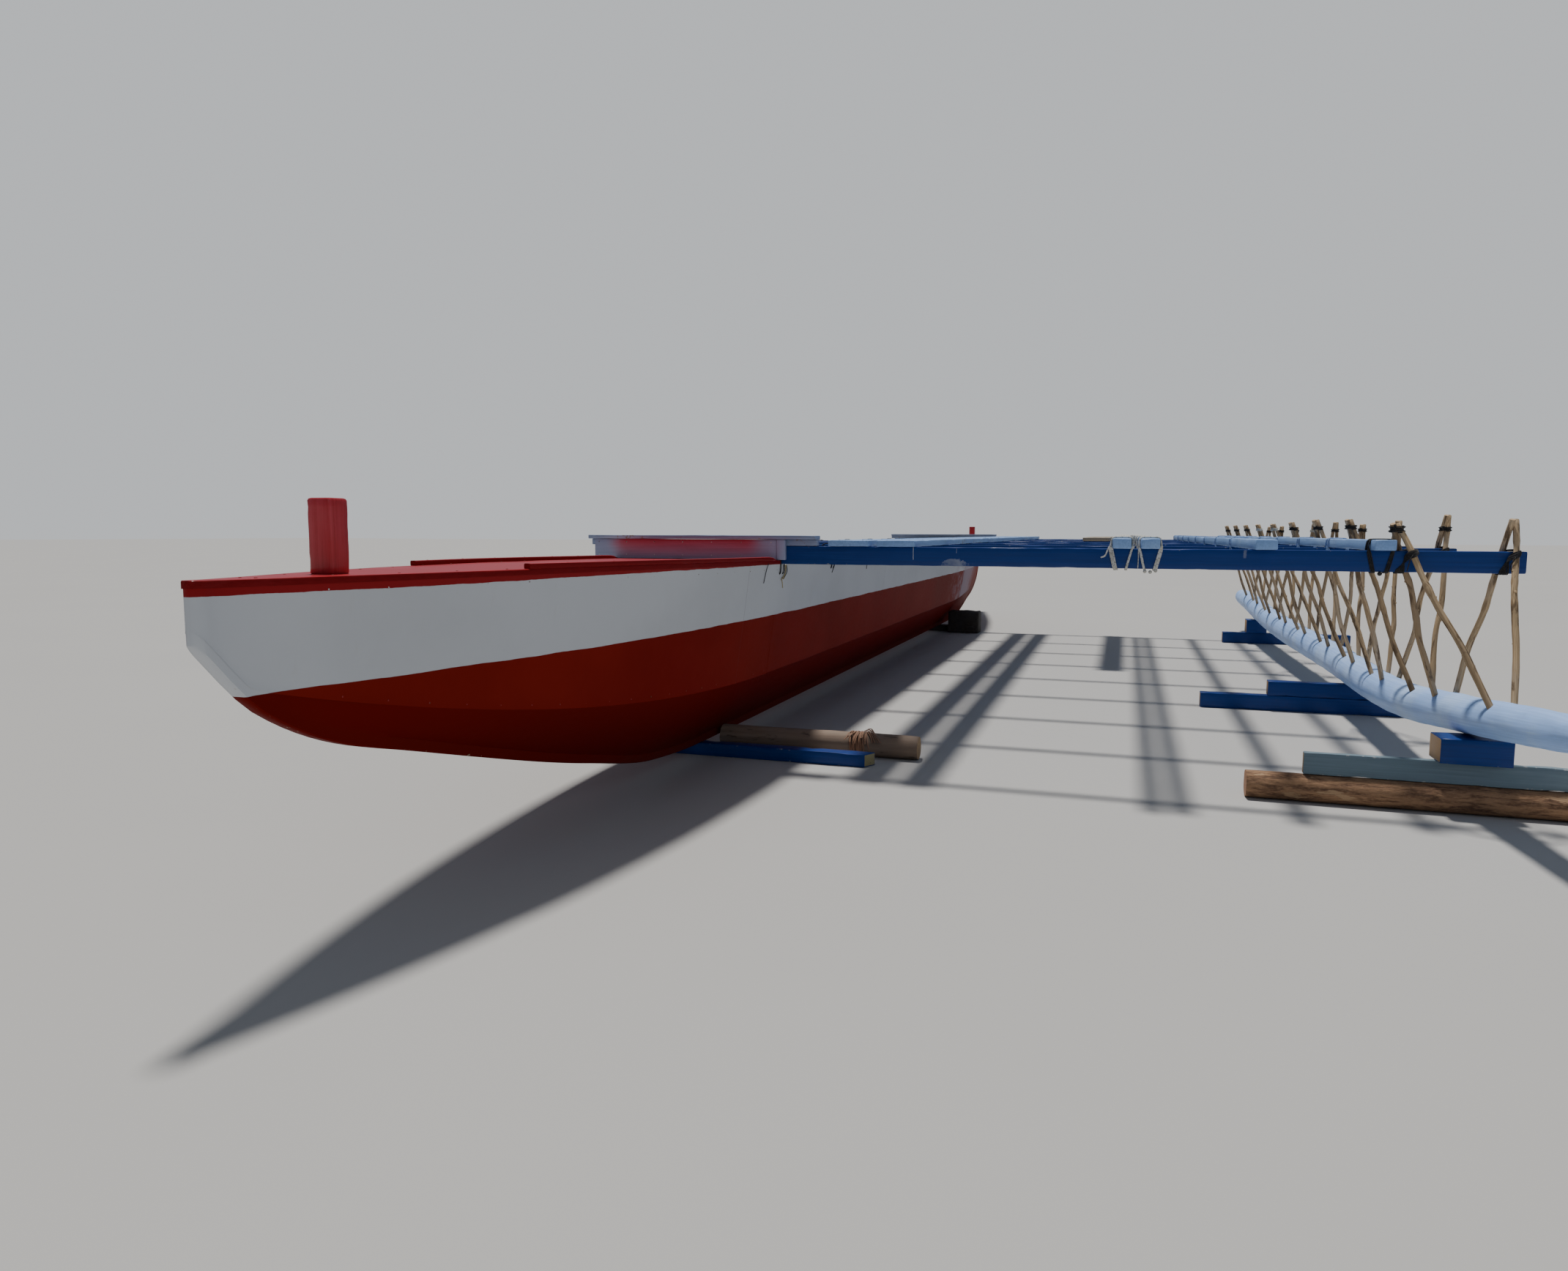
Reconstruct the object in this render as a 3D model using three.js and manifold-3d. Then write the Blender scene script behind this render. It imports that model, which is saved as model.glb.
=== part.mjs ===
// Outrigger canoe standing ashore on timber chocks: a plank-built hull with decked ends, nine
// crossbeams, loose platform planks and a log float carried by lashed V struts.
// Millimetres, +Z up, +X to the bow, +Y to the float. In the tables x = 0 is the middle
// crossbeam, y = 0 the middle of the hull and z = 0 the ground.
import * as THREE from 'three';
import { mergeVertices } from 'three/addons/utils/BufferGeometryUtils.js';
import Module from 'manifold-3d';

const wasm = await Module();
wasm.setup();

// Clearance between touching pieces
const GAP = 0.3;

// Crossbeams
const BEAM_COUNT = 9;
const BEAM_PITCH = 1100;
const BEAM_WIDTH = 50;
const BEAM_HEIGHT = 108;
const BEAM_BOTTOM = 1197;
const BEAM_TOP = BEAM_BOTTOM + BEAM_HEIGHT;
const BEAM_LEE_END = -620;
const BEAM_FLOAT_END = 4330;
const FIRST_BEAM_X = BEAM_PITCH * (BEAM_COUNT - 1) / 2;
const DECK_FROM = FIRST_BEAM_X + BEAM_WIDTH / 2 + GAP;

// Hull: half-beams at deck and chine, how they close to each end, and the skin
const SHEER_MID = BEAM_BOTTOM - GAP;
const SKIN = 18;
const DECK_HALF = 550;
const CHINE_HALF = 462;
const CHINE_MID_Z = 535;
const CHINE_HALF_LEAST = 30;
const KEEL_HALF_WIDTH = 28;
const KEEL_DEPTH = 45;
const KEELSON_RISE = 12;
// full: where the parallel middle ends; tip: where the half-beam closes; power: its fullness
const BOW = {
  sign: 1, tip: 8030,
  deck: { full: 3600, tip: 8060, power: 2.6 },
  chine: { full: 3600, tip: 7850, power: 2.4 },
  chineRise: { from: 4300, to: 8000, rise: 418, power: 2.5 },
};
const STERN = {
  sign: -1, tip: 8240,
  deck: { full: 3400, tip: 8270, power: 1.8 },
  chine: { full: 2600, tip: 8100, power: 1.4 },
  chineRise: { from: 2500, to: 8240, rise: 120, power: 2.2 },
};
// Columns: x, z of the keel's underside
const KEEL_LINE = [
  [-8240, 1000], [-8150, 760], [-7900, 570], [-7400, 400], [-6750, 285], [-6000, 150],
  [-5300, 92], [-4700, 80], [4500, 80], [5100, 112], [5840, 250], [7160, 585], [7500, 680],
  [7800, 830], [8030, 1060],
];
// Columns: x, rise of the sheer over its height amidships
const SHEER_LINE = [
  [-8240, 25], [-6700, 22], [-4700, 3], [-4430, 0], [4430, 0], [4700, 3], [6700, 22], [8030, 25],
];

// End decks with their low rails and mooring post
const DECK_THICK = 24;
const DECK_OVERHANG = 4;
const RAIL = { width: 28, height: 20, floatSide: [4500, 6790], leeSide: [4460, 6640] };
const POST = { x: 7480, size: 90, top: 1493 };

// End panels that close the open middle of the hull, with a cap plank on a batten
const PANEL = { thick: 24, lee: -690, float: 580, postWidth: 52, postThick: 34 };
const BATTEN_HEIGHT = 38;
const CAP = { thick: 24, width: 110, lee: -726, float: 770 };

// Ribs, bulkheads and inwales inside the hull
const FRAME = { thick: 30, clear: 3, floor: 84, side: 62, cornerRise: 60 };
const INWALE = { width: 32, height: 46 };

// Platform planks, stringers and loose board lying on the crossbeams
const PLANK_END = FIRST_BEAM_X + 75;
// Columns: name, first y, last y, thickness, first x, last x, colour
const LENGTHWISE = [
  ['platform_plank_1', 850, 1090, 36, -PLANK_END, PLANK_END, 'pale'],
  ['platform_plank_2', 1140, 1360, 36, -PLANK_END, PLANK_END, 'pale'],
  ['stringer_mid_1', 2430, 2525, 55, -PLANK_END, PLANK_END + 120, 'pale'],
  ['stringer_mid_2', 2572, 2667, 55, -PLANK_END, PLANK_END + 105, 'pale'],
  ['stringer_outer_1', 3116, 3220, 53, -PLANK_END, PLANK_END + 110, 'pale'],
  ['stringer_outer_2', 3658, 3753, 53, -PLANK_END, PLANK_END + 55, 'pale'],
  ['loose_board', 2075, 2345, 38, -4550, -850, 'raw'],
];

// Float: a tapered log, slightly bowed outward, whose ends turn up
const FLOAT_SIDES = 16;
// Columns: x, then y, z and radius of the middle there
const FLOAT_LINE = [
  [-5850, 4124, 506, 38], [-5790, 4124, 502, 78], [-5600, 4126, 494, 102], [-4800, 4136, 470, 113],
  [-4000, 4144, 434, 119], [-3000, 4152, 392, 122], [-2000, 4164, 366, 123], [-800, 4184, 353, 122],
  [600, 4200, 350, 119], [2000, 4172, 352, 113], [3400, 4118, 406, 104], [4000, 4144, 456, 99],
  [4800, 4178, 532, 89], [5500, 4206, 604, 76], [5800, 4212, 636, 64], [5880, 4212, 645, 36],
];

// V struts: two on each crossbeam, each of two crossed sticks with a lashing
const STICK = { sides: 8, footRadius: 15, topRadius: 13.5, splay: 368, over: 62, wobble: 7, buried: 24 };
const LASHING = { radius: 31, height: 46, sides: 10 };
// Columns: name, y and z where the sticks cross, y of the feet from the middle of the float
const STRUT_ROWS = [
  ['inner', 3776, 1428, -60],
  ['outer', 4268, 1418, 35],
];

// Chocks and logs that carry the canoe ashore
const KEEL_REST = 80 - GAP;
const LOG_SIDES = 16;
const HULL_LOG = { x: 4130, radius: 73, from: 57, to: 1340 };
const HULL_PLANK = { x: 4400, width: 95, from: -430, to: 1120 };
const HULL_BLOCK = { x: -4250, length: 240, from: -260, to: 185 };
const BILGE_BLOCK = { x: -4080, length: 300, from: 190, to: 615, height: 302 };
const NEAR_LOG = { x: 4420, radius: 73, from: 3140, to: 5020 };
const NEAR_PLANK = { thick: 42, height: 116, from: 3410, to: 4960 };
const NEAR_TIMBER = { length: 200, from: 4000, to: 4310 };
const MID_PLANK = { x: 1440, width: 95, lower: 120, from: 3110, to: 4570, upperFrom: 3600, upperTo: 4480 };
const FAR_PLANK = { x: -3900, width: 95, height: 138, from: 3720, to: 5180 };
const FAR_BLOCK = { length: 210, from: 3990, to: 4225 };

// The box of the whole object, whose bottom centre is the origin
const X_CENTRE = (BOW.tip - STERN.tip) / 2;
const Y_CENTRE = (CAP.lee + FAR_PLANK.to) / 2;

const finish = (color, roughness) => new THREE.MeshStandardMaterial({ color, roughness, metalness: 0 });
const FINISHES = {
  white: () => finish(0xc9cbc6, 0.5),
  red: () => finish(0x8a1410, 0.45),
  deck: () => finish(0xb01a20, 0.4),
  blue: () => finish(0x1f3f86, 0.4),
  pale: () => finish(0x9db8dc, 0.45),
  float: () => finish(0x8fb0e4, 0.45),
  raw: () => finish(0xb59670, 0.8),
  stick: () => finish(0xa08562, 0.8),
  bark: () => finish(0x6f5640, 0.9),
  grey: () => finish(0x8b97a3, 0.6),
  inside: () => finish(0xb7b3a6, 0.65),
  dark: () => finish(0x3b3630, 0.9),
};

// Value of a table at x, on a smooth curve through its points
function along(table, x, column = 1) {
  const last = table.length - 1;
  if (x <= table[0][0]) return table[0][column];
  if (x >= table[last][0]) return table[last][column];
  const i = table.findIndex((row) => row[0] > x) - 1;
  const slope = (a, b) => (table[b][column] - table[a][column]) / (table[b][0] - table[a][0]);
  const step = table[i + 1][0] - table[i][0];
  const here = slope(i, i + 1);
  const tangent = (j) => {
    if (j === 0 || j === last) return here;
    const before = slope(j - 1, j);
    const after = slope(j, j + 1);
    return before * after <= 0 ? 0 : 2 * before * after / (before + after);
  };
  const t = (x - table[i][0]) / step;
  const a = table[i][column];
  const b = table[i + 1][column];
  const start = tangent(i) * step;
  const end = tangent(i + 1) * step;
  return a + start * t + (3 * (b - a) - 2 * start - end) * t * t + (2 * (a - b) + start + end) * t ** 3;
}

// Share of the full half-beam that is left at x, from 1 amidships to 0 at the tip
function fullness(shape, x) {
  const s = Math.min(Math.max((Math.abs(x) - shape.full) / (shape.tip - shape.full), 0), 1);
  return 1 - s ** shape.power;
}

// Stations of the hull's lines, closer together where the lines bend
const STATIONS = [
  -8240, -8190, -8060, -7900, -7650, -7400, -7050, -6600, -6300, -6000, -5650, -5300, -5000,
  -4700, -DECK_FROM, -4000, -3400, -2600, 0, 3600, 4000, DECK_FROM, 4700, 5100, 5500, 5900,
  6300, 6700, 7100, 7500, 7660, 7800, 7920, 8030,
];

// A line of the hull, straight from station to station so that every piece agrees with the skin
function faired(line) {
  const rows = STATIONS.map((x) => [x, line(x)]);
  return (x) => {
    const i = Math.min(Math.max(rows.findIndex((row) => row[0] >= x), 1), rows.length - 1);
    const [[x0, a], [x1, b]] = [rows[i - 1], rows[i]];
    return a + (b - a) * Math.min(Math.max((x - x0) / (x1 - x0), 0), 1);
  };
}

const endOf = (x) => (x >= 0 ? BOW : STERN);
const sheerZ = faired((x) => SHEER_MID + along(SHEER_LINE, x));
const deckHalf = faired((x) => Math.max(DECK_HALF * fullness(endOf(x).deck, x), CHINE_HALF_LEAST));
const chineHalf = faired((x) => Math.max(CHINE_HALF * fullness(endOf(x).chine, x), CHINE_HALF_LEAST));
const keelZ = faired((x) => along(KEEL_LINE, x));
const chineZ = faired((x) => {
  const { from, to, rise, power } = endOf(x).chineRise;
  const s = Math.min(Math.max((Math.abs(x) - from) / (to - from), 0), 1);
  return CHINE_MID_Z + rise * s ** power;
});

// Half section of the hull's bottom skin: its outer apex, and its inner corners
const apexZ = (x) => keelZ(x) + KEEL_DEPTH;
const deadrise = (x) => Math.atan2(chineZ(x) - apexZ(x), chineHalf(x) - KEEL_HALF_WIDTH);
const innerApexZ = faired((x) => apexZ(x) + SKIN / Math.cos(deadrise(x)));
const innerChineHalf = faired((x) => chineHalf(x) - SKIN / Math.sin(deadrise(x)));

// Closed body through rings of points, each ring an array of [x, y, z] in the same order
function loft(rings) {
  const count = rings[0].length;
  const positions = rings.flat(2);
  const index = [];
  for (let i = 0; i < rings.length - 1; i += 1) {
    for (let j = 0; j < count; j += 1) {
      const a = i * count + j;
      const b = i * count + (j + 1) % count;
      index.push(a, b, b + count, a, b + count, a + count);
    }
  }
  const capFaces = (ring) => {
    const [p, q, r] = [ring[0], ring[Math.floor(count / 3)], ring[Math.floor(2 * count / 3)]]
      .map((point) => new THREE.Vector3(...point));
    const normal = q.sub(p).cross(r.sub(p)).normalize();
    const u = new THREE.Vector3(...ring[1]).sub(new THREE.Vector3(...ring[0])).normalize();
    const v = normal.clone().cross(u);
    const flat = ring.map((point) => {
      const local = new THREE.Vector3(...point);
      return new THREE.Vector2(local.dot(u), local.dot(v));
    });
    const faces = THREE.ShapeUtils.triangulateShape(flat, []);
    return THREE.ShapeUtils.isClockWise(flat) ? faces.map(([a, b, c]) => [a, c, b]) : faces;
  };
  const end = (rings.length - 1) * count;
  for (const [a, b, c] of capFaces(rings[0])) index.push(a, c, b);
  for (const [a, b, c] of capFaces(rings[rings.length - 1])) index.push(end + a, end + b, end + c);
  const geometry = new THREE.BufferGeometry();
  geometry.setAttribute('position', new THREE.Float32BufferAttribute(positions, 3));
  geometry.setIndex(index);
  return outward(geometry);
}

// Turns every face round when the body is inside out
function outward(geometry) {
  const p = geometry.attributes.position;
  const index = geometry.index.array;
  const corners = [0, 1, 2].map(() => new THREE.Vector3());
  let volume = 0;
  for (let i = 0; i < index.length; i += 3) {
    corners.forEach((corner, k) => corner.fromBufferAttribute(p, index[i + k]));
    volume += corners[0].dot(corners[1].clone().cross(corners[2]));
  }
  if (volume < 0) {
    for (let i = 0; i < index.length; i += 3) [index[i + 1], index[i + 2]] = [index[i + 2], index[i + 1]];
  }
  geometry.computeVertexNormals();
  return geometry;
}

// Box between two opposite corners
function box([x0, x1], [y0, y1], [z0, z1]) {
  const geometry = new THREE.BoxGeometry(x1 - x0, y1 - y0, z1 - z0);
  return geometry.translate((x0 + x1) / 2, (y0 + y1) / 2, (z0 + z1) / 2);
}

// Flat outline in y and z, made thick along x about its middle
function crosswise(outline, x, thickness) {
  const shape = new THREE.Shape(outline.map(([y, z]) => new THREE.Vector2(y, z)));
  const geometry = new THREE.ExtrudeGeometry(shape, { depth: thickness, bevelEnabled: false });
  geometry.translate(0, 0, -thickness / 2);
  const turn = new THREE.Matrix4().makeBasis(
    new THREE.Vector3(0, 1, 0), new THREE.Vector3(0, 0, 1), new THREE.Vector3(1, 0, 0),
  );
  return geometry.applyMatrix4(turn).translate(x, 0, 0);
}

// Round bar along a list of points, with a radius at each
function bar(points, radii, sides) {
  const rings = points.map((point, i) => {
    const before = points[Math.max(i - 1, 0)];
    const after = points[Math.min(i + 1, points.length - 1)];
    const direction = after.clone().sub(before).normalize();
    const side = new THREE.Vector3(0, 1, 0).cross(direction).normalize();
    const up = direction.clone().cross(side);
    return Array.from({ length: sides }, (_, k) => {
      const angle = 2 * Math.PI * (k + 0.5) / sides;
      return point.clone()
        .addScaledVector(side, radii[i] * Math.cos(angle))
        .addScaledVector(up, radii[i] * Math.sin(angle))
        .toArray();
    });
  });
  return loft(rings);
}

// Solid for joining and cutting
function solid(geometry) {
  const plain = geometry.clone();
  plain.deleteAttribute('normal');
  plain.deleteAttribute('uv');
  const merged = mergeVertices(plain, 1e-3);
  return new wasm.Manifold(new wasm.Mesh({
    numProp: 3,
    vertProperties: new Float32Array(merged.attributes.position.array),
    triVerts: new Uint32Array(merged.index.array),
  }));
}

// Geometry of a joined or cut solid
function surface(joined) {
  const mesh = joined.getMesh();
  const geometry = new THREE.BufferGeometry();
  geometry.setAttribute('position', new THREE.Float32BufferAttribute(mesh.vertProperties, 3));
  geometry.setIndex(Array.from(mesh.triVerts));
  geometry.computeVertexNormals();
  return geometry;
}

const fuse = (geometries) => surface(geometries.map(solid).reduce((a, b) => a.add(b)));

const canoe = new THREE.Group();
canoe.position.set(-X_CENTRE, -Y_CENTRE, 0);

function piece(name, geometry, colour) {
  const mesh = new THREE.Mesh(geometry, FINISHES[colour]());
  mesh.name = name;
  canoe.add(mesh);
}

// Stations between two places, with the two places themselves
function stations(from, to) {
  return [from, ...STATIONS.filter((x) => x > from + 1 && x < to - 1), to];
}

// Sides, bottom and keel of the open middle, from bulkhead to bulkhead
const HOLD = [-DECK_FROM + GAP, DECK_FROM - GAP];

function hullSides() {
  for (const [name, side] of [['hull_side_float', 1], ['hull_side_lee', -1]]) {
    const rings = stations(...HOLD).map((x) => [
      [x, side * deckHalf(x), sheerZ(x)],
      [x, side * chineHalf(x), chineZ(x) + GAP],
      [x, side * (chineHalf(x) - SKIN), chineZ(x) + GAP],
      [x, side * (deckHalf(x) - SKIN), sheerZ(x)],
    ]);
    piece(name, loft(rings), 'white');
  }
}

function hullBottoms() {
  for (const [name, side] of [['hull_bottom_float', 1], ['hull_bottom_lee', -1]]) {
    const rings = stations(...HOLD).map((x) => [
      [x, side * KEEL_HALF_WIDTH, apexZ(x)],
      [x, side * chineHalf(x), chineZ(x)],
      [x, side * innerChineHalf(x), chineZ(x)],
      [x, side * KEEL_HALF_WIDTH, innerApexZ(x)],
    ]);
    piece(name, loft(rings), 'red');
  }
}

function keel() {
  const half = KEEL_HALF_WIDTH - GAP;
  const rings = stations(...HOLD).map((x) => {
    const top = innerApexZ(x) + KEELSON_RISE;
    return [[x, half, keelZ(x)], [x, half, top], [x, -half, top], [x, -half, keelZ(x)]];
  });
  piece('keel', loft(rings), 'red');
}

// Decked end of the hull, closed from the bulkhead to the tip, on the same lines as the skin
function hullEnd(name, end) {
  const ends = [end.sign * DECK_FROM, end.sign * end.tip];
  const rings = stations(Math.min(...ends), Math.max(...ends)).map((x) => {
    const foot = Math.min(KEEL_HALF_WIDTH, chineHalf(x) - 2);
    const half = [
      [deckHalf(x), sheerZ(x)], [chineHalf(x), Math.max(chineZ(x), apexZ(x))],
      [foot, apexZ(x)], [foot, keelZ(x)],
    ];
    const other = half.map(([y, z]) => [-y, z]).reverse();
    return [...half, ...other].map(([y, z]) => [x, y, z]);
  });
  piece(name, loft(rings), 'white');
}

// Deck sheet over one end, with a low rail along each edge and a mooring post
function deck(name, end) {
  const ends = [end.sign * DECK_FROM, end.sign * (end.tip + DECK_OVERHANG)];
  const xs = stations(Math.min(...ends), Math.max(...ends));
  const half = (x) => deckHalf(x) + DECK_OVERHANG;
  const top = (x) => sheerZ(x) + DECK_THICK;
  const sheet = loft(xs.map((x) => [
    [x, half(x), sheerZ(x) + GAP], [x, half(x), top(x)], [x, -half(x), top(x)], [x, -half(x), sheerZ(x) + GAP],
  ]));
  const rails = [[1, RAIL.floatSide], [-1, RAIL.leeSide]].map(([side, span]) => {
    const railEnds = span.map((distance) => end.sign * distance);
    return loft(stations(Math.min(...railEnds), Math.max(...railEnds)).map((x) => {
      const outer = side * half(x);
      const inner = side * (half(x) - RAIL.width);
      return [
        [x, outer, top(x) - 2], [x, outer, top(x) + RAIL.height],
        [x, inner, top(x) + RAIL.height], [x, inner, top(x) - 2],
      ];
    }));
  });
  const x = end.sign * POST.x;
  const post = box(
    [x - POST.size / 2, x + POST.size / 2], [-POST.size / 2, POST.size / 2], [top(x) - 4, POST.top],
  );
  piece(name, fuse([sheet, ...rails, post]), 'deck');
}

// Upright board against the end crossbeam, with a corner post on the float side
function endPanel(name, sign) {
  const low = sheerZ(FIRST_BEAM_X + BEAM_WIDTH) + DECK_THICK + 1;
  const high = BEAM_TOP + BATTEN_HEIGHT - GAP;
  const span = (near, far) => (sign > 0 ? [near, far] : [-far, -near]);
  const board = box(span(DECK_FROM, DECK_FROM + PANEL.thick), [PANEL.lee, PANEL.float], [low, high]);
  const post = box(
    span(DECK_FROM, DECK_FROM + PANEL.postThick), [PANEL.float - PANEL.postWidth, PANEL.float], [low, high],
  );
  piece(name, fuse([board, post]), 'grey');
}

// Cap plank on its batten, over the end crossbeam and the end panel
function endCap(name, sign) {
  const middle = sign * (FIRST_BEAM_X + 15);
  const batten = box(
    [sign * FIRST_BEAM_X - 20, sign * FIRST_BEAM_X + 20], [CAP.lee, CAP.float],
    [BEAM_TOP + GAP, BEAM_TOP + BATTEN_HEIGHT + 1],
  );
  const plank = box(
    [middle - CAP.width / 2, middle + CAP.width / 2], [CAP.lee, CAP.float],
    [BEAM_TOP + BATTEN_HEIGHT, BEAM_TOP + BATTEN_HEIGHT + CAP.thick],
  );
  piece(name, fuse([batten, plank]), 'pale');
}

// Half outline of the inside of the hull at a frame, from the keel up to the sheer
function frameOuter(x) {
  const faces = [x - FRAME.thick / 2, x + FRAME.thick / 2];
  const least = (f) => Math.min(...faces.map(f)) - FRAME.clear;
  const most = (f) => Math.max(...faces.map(f)) + FRAME.clear;
  const keelTop = most(innerApexZ) + KEELSON_RISE;
  return [
    [KEEL_HALF_WIDTH + 10, keelTop + 2],
    [least(innerChineHalf) - 2, most(chineZ)],
    [least(chineHalf) - SKIN, most(chineZ) + FRAME.cornerRise],
    [least(deckHalf) - SKIN, least(sheerZ)],
  ];
}

// Half width inside the hull's side at a height
function innerSide(x, z) {
  const share = (z - chineZ(x)) / (sheerZ(x) - chineZ(x));
  return chineHalf(x) + (deckHalf(x) - chineHalf(x)) * share - SKIN;
}

// Open ribs under the crossbeams, a closed bulkhead under the end ones, and the inwales
function framing() {
  const parts = [];
  for (let i = 0; i < BEAM_COUNT; i += 1) {
    const x = FIRST_BEAM_X - BEAM_PITCH * i;
    const outer = frameOuter(x);
    const closed = i === 0 || i === BEAM_COUNT - 1;
    const [, chine, side, top] = outer;
    const inner = [
      [top[0] - FRAME.side, top[1]],
      [side[0] - FRAME.side, side[1]],
      [chine[0] - FRAME.floor, chine[1]],
      [KEEL_HALF_WIDTH, outer[0][1] + FRAME.floor],
    ];
    const half = closed ? outer : [...outer, ...inner];
    const mirrored = half.map(([y, z]) => [-y, z]);
    const outline = closed
      ? [...half, ...mirrored.reverse()]
      : [
        ...outer, ...inner,
        ...inner.map(([y, z]) => [-y, z]).reverse(), ...outer.map(([y, z]) => [-y, z]).reverse(),
      ];
    parts.push(crosswise(outline, x, FRAME.thick));
  }
  for (const side of [1, -1]) {
    const rings = stations(-FIRST_BEAM_X, FIRST_BEAM_X).map((x) => {
      const top = SHEER_MID - 2 * FRAME.clear;
      const outer = side * (innerSide(x, top - INWALE.height) - FRAME.clear);
      const inner = outer - side * INWALE.width;
      const foot = top - INWALE.height;
      return [[x, outer, top], [x, inner, top], [x, inner, foot], [x, outer, foot]];
    });
    parts.push(loft(rings));
  }
  piece('hull_framing', fuse(parts), 'inside');
}

function crossbeams() {
  for (let i = 0; i < BEAM_COUNT; i += 1) {
    const x = FIRST_BEAM_X - BEAM_PITCH * i;
    const geometry = box(
      [x - BEAM_WIDTH / 2, x + BEAM_WIDTH / 2], [BEAM_LEE_END, BEAM_FLOAT_END], [BEAM_BOTTOM, BEAM_TOP],
    );
    piece(`crossbeam_${i + 1}`, geometry, 'blue');
  }
}

function lengthwiseTimbers() {
  for (const [name, y0, y1, thick, x0, x1, colour] of LENGTHWISE) {
    piece(name, box([x0, x1], [y0, y1], [BEAM_TOP + GAP, BEAM_TOP + GAP + thick]), colour);
  }
}

// The float's log, its radius enlarged by a margin when it serves to cut the struts' feet
function floatLog(margin = 0) {
  return loft(FLOAT_LINE.map(([x, y, z, radius]) => Array.from({ length: FLOAT_SIDES }, (_, k) => {
    const angle = 2 * Math.PI * k / FLOAT_SIDES;
    const reach = radius + margin;
    return [x, y + reach * Math.sin(angle), z - reach * Math.cos(angle)];
  })));
}

// Underside of the float where it rests on a chock between two places
function floatUnder(x, length) {
  const under = (at) => along(FLOAT_LINE, at, 2) - along(FLOAT_LINE, at, 3);
  return Math.min(under(x - length / 2), under(x), under(x + length / 2)) - GAP;
}

// One stick from its foot in the float, past the crossing, with a slight bend
function stick(crossing, foot, bend) {
  const run = crossing.clone().sub(foot);
  const direction = run.clone().normalize();
  const shares = [-STICK.buried / run.length(), 0.3, 0.62, 0.86, 1 + STICK.over / run.length()];
  const points = shares.map((t, i) => {
    const point = foot.clone().addScaledVector(run, t);
    const sway = STICK.wobble * bend * [0, 1, -0.8, 0.2, 0][i];
    return point.add(new THREE.Vector3(-direction.z * sway * 0.4, sway, 0));
  });
  const taper = STICK.topRadius - STICK.footRadius;
  const radii = [0, 0.3, 0.62, 0.86, 1].map((t) => STICK.footRadius + taper * t);
  return bar(points, radii, STICK.sides);
}

function struts() {
  const cutter = solid(floatLog(GAP));
  for (const [row, crossY, crossZ, footOffset] of STRUT_ROWS) {
    for (let i = 0; i < BEAM_COUNT; i += 1) {
      const x = FIRST_BEAM_X - BEAM_PITCH * i;
      const sticks = [1, -1].map((sign) => {
        const footX = x + sign * STICK.splay;
        const [floatY, floatZ, radius] = [1, 2, 3].map((column) => along(FLOAT_LINE, footX, column));
        const footZ = floatZ + Math.sqrt(radius ** 2 - footOffset ** 2);
        const beside = sign * STICK.topRadius * 0.9;
        const crossing = new THREE.Vector3(x, crossY + beside, crossZ);
        return stick(crossing, new THREE.Vector3(footX, floatY + footOffset, footZ), (i % 2 ? 1 : -1) * sign);
      });
      const lashing = bar(
        [-0.5, 0.5].map((t) => new THREE.Vector3(x, crossY, crossZ + t * LASHING.height)),
        [LASHING.radius, LASHING.radius], LASHING.sides,
      );
      const joined = [...sticks, lashing].map(solid).reduce((a, b) => a.add(b)).subtract(cutter);
      piece(`strut_${row}_${i + 1}`, surface(joined), 'stick');
    }
  }
}

// Round log lying on the ground across the canoe
function roundLog({ x, radius, from, to }) {
  return loft([from, to].map((y) => Array.from({ length: LOG_SIDES }, (_, k) => {
    const angle = 2 * Math.PI * (k + 0.5) / LOG_SIDES;
    const reach = radius / Math.cos(Math.PI / LOG_SIDES);
    return [x + reach * Math.sin(angle), y, radius + reach * Math.cos(angle)];
  })));
}

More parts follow.
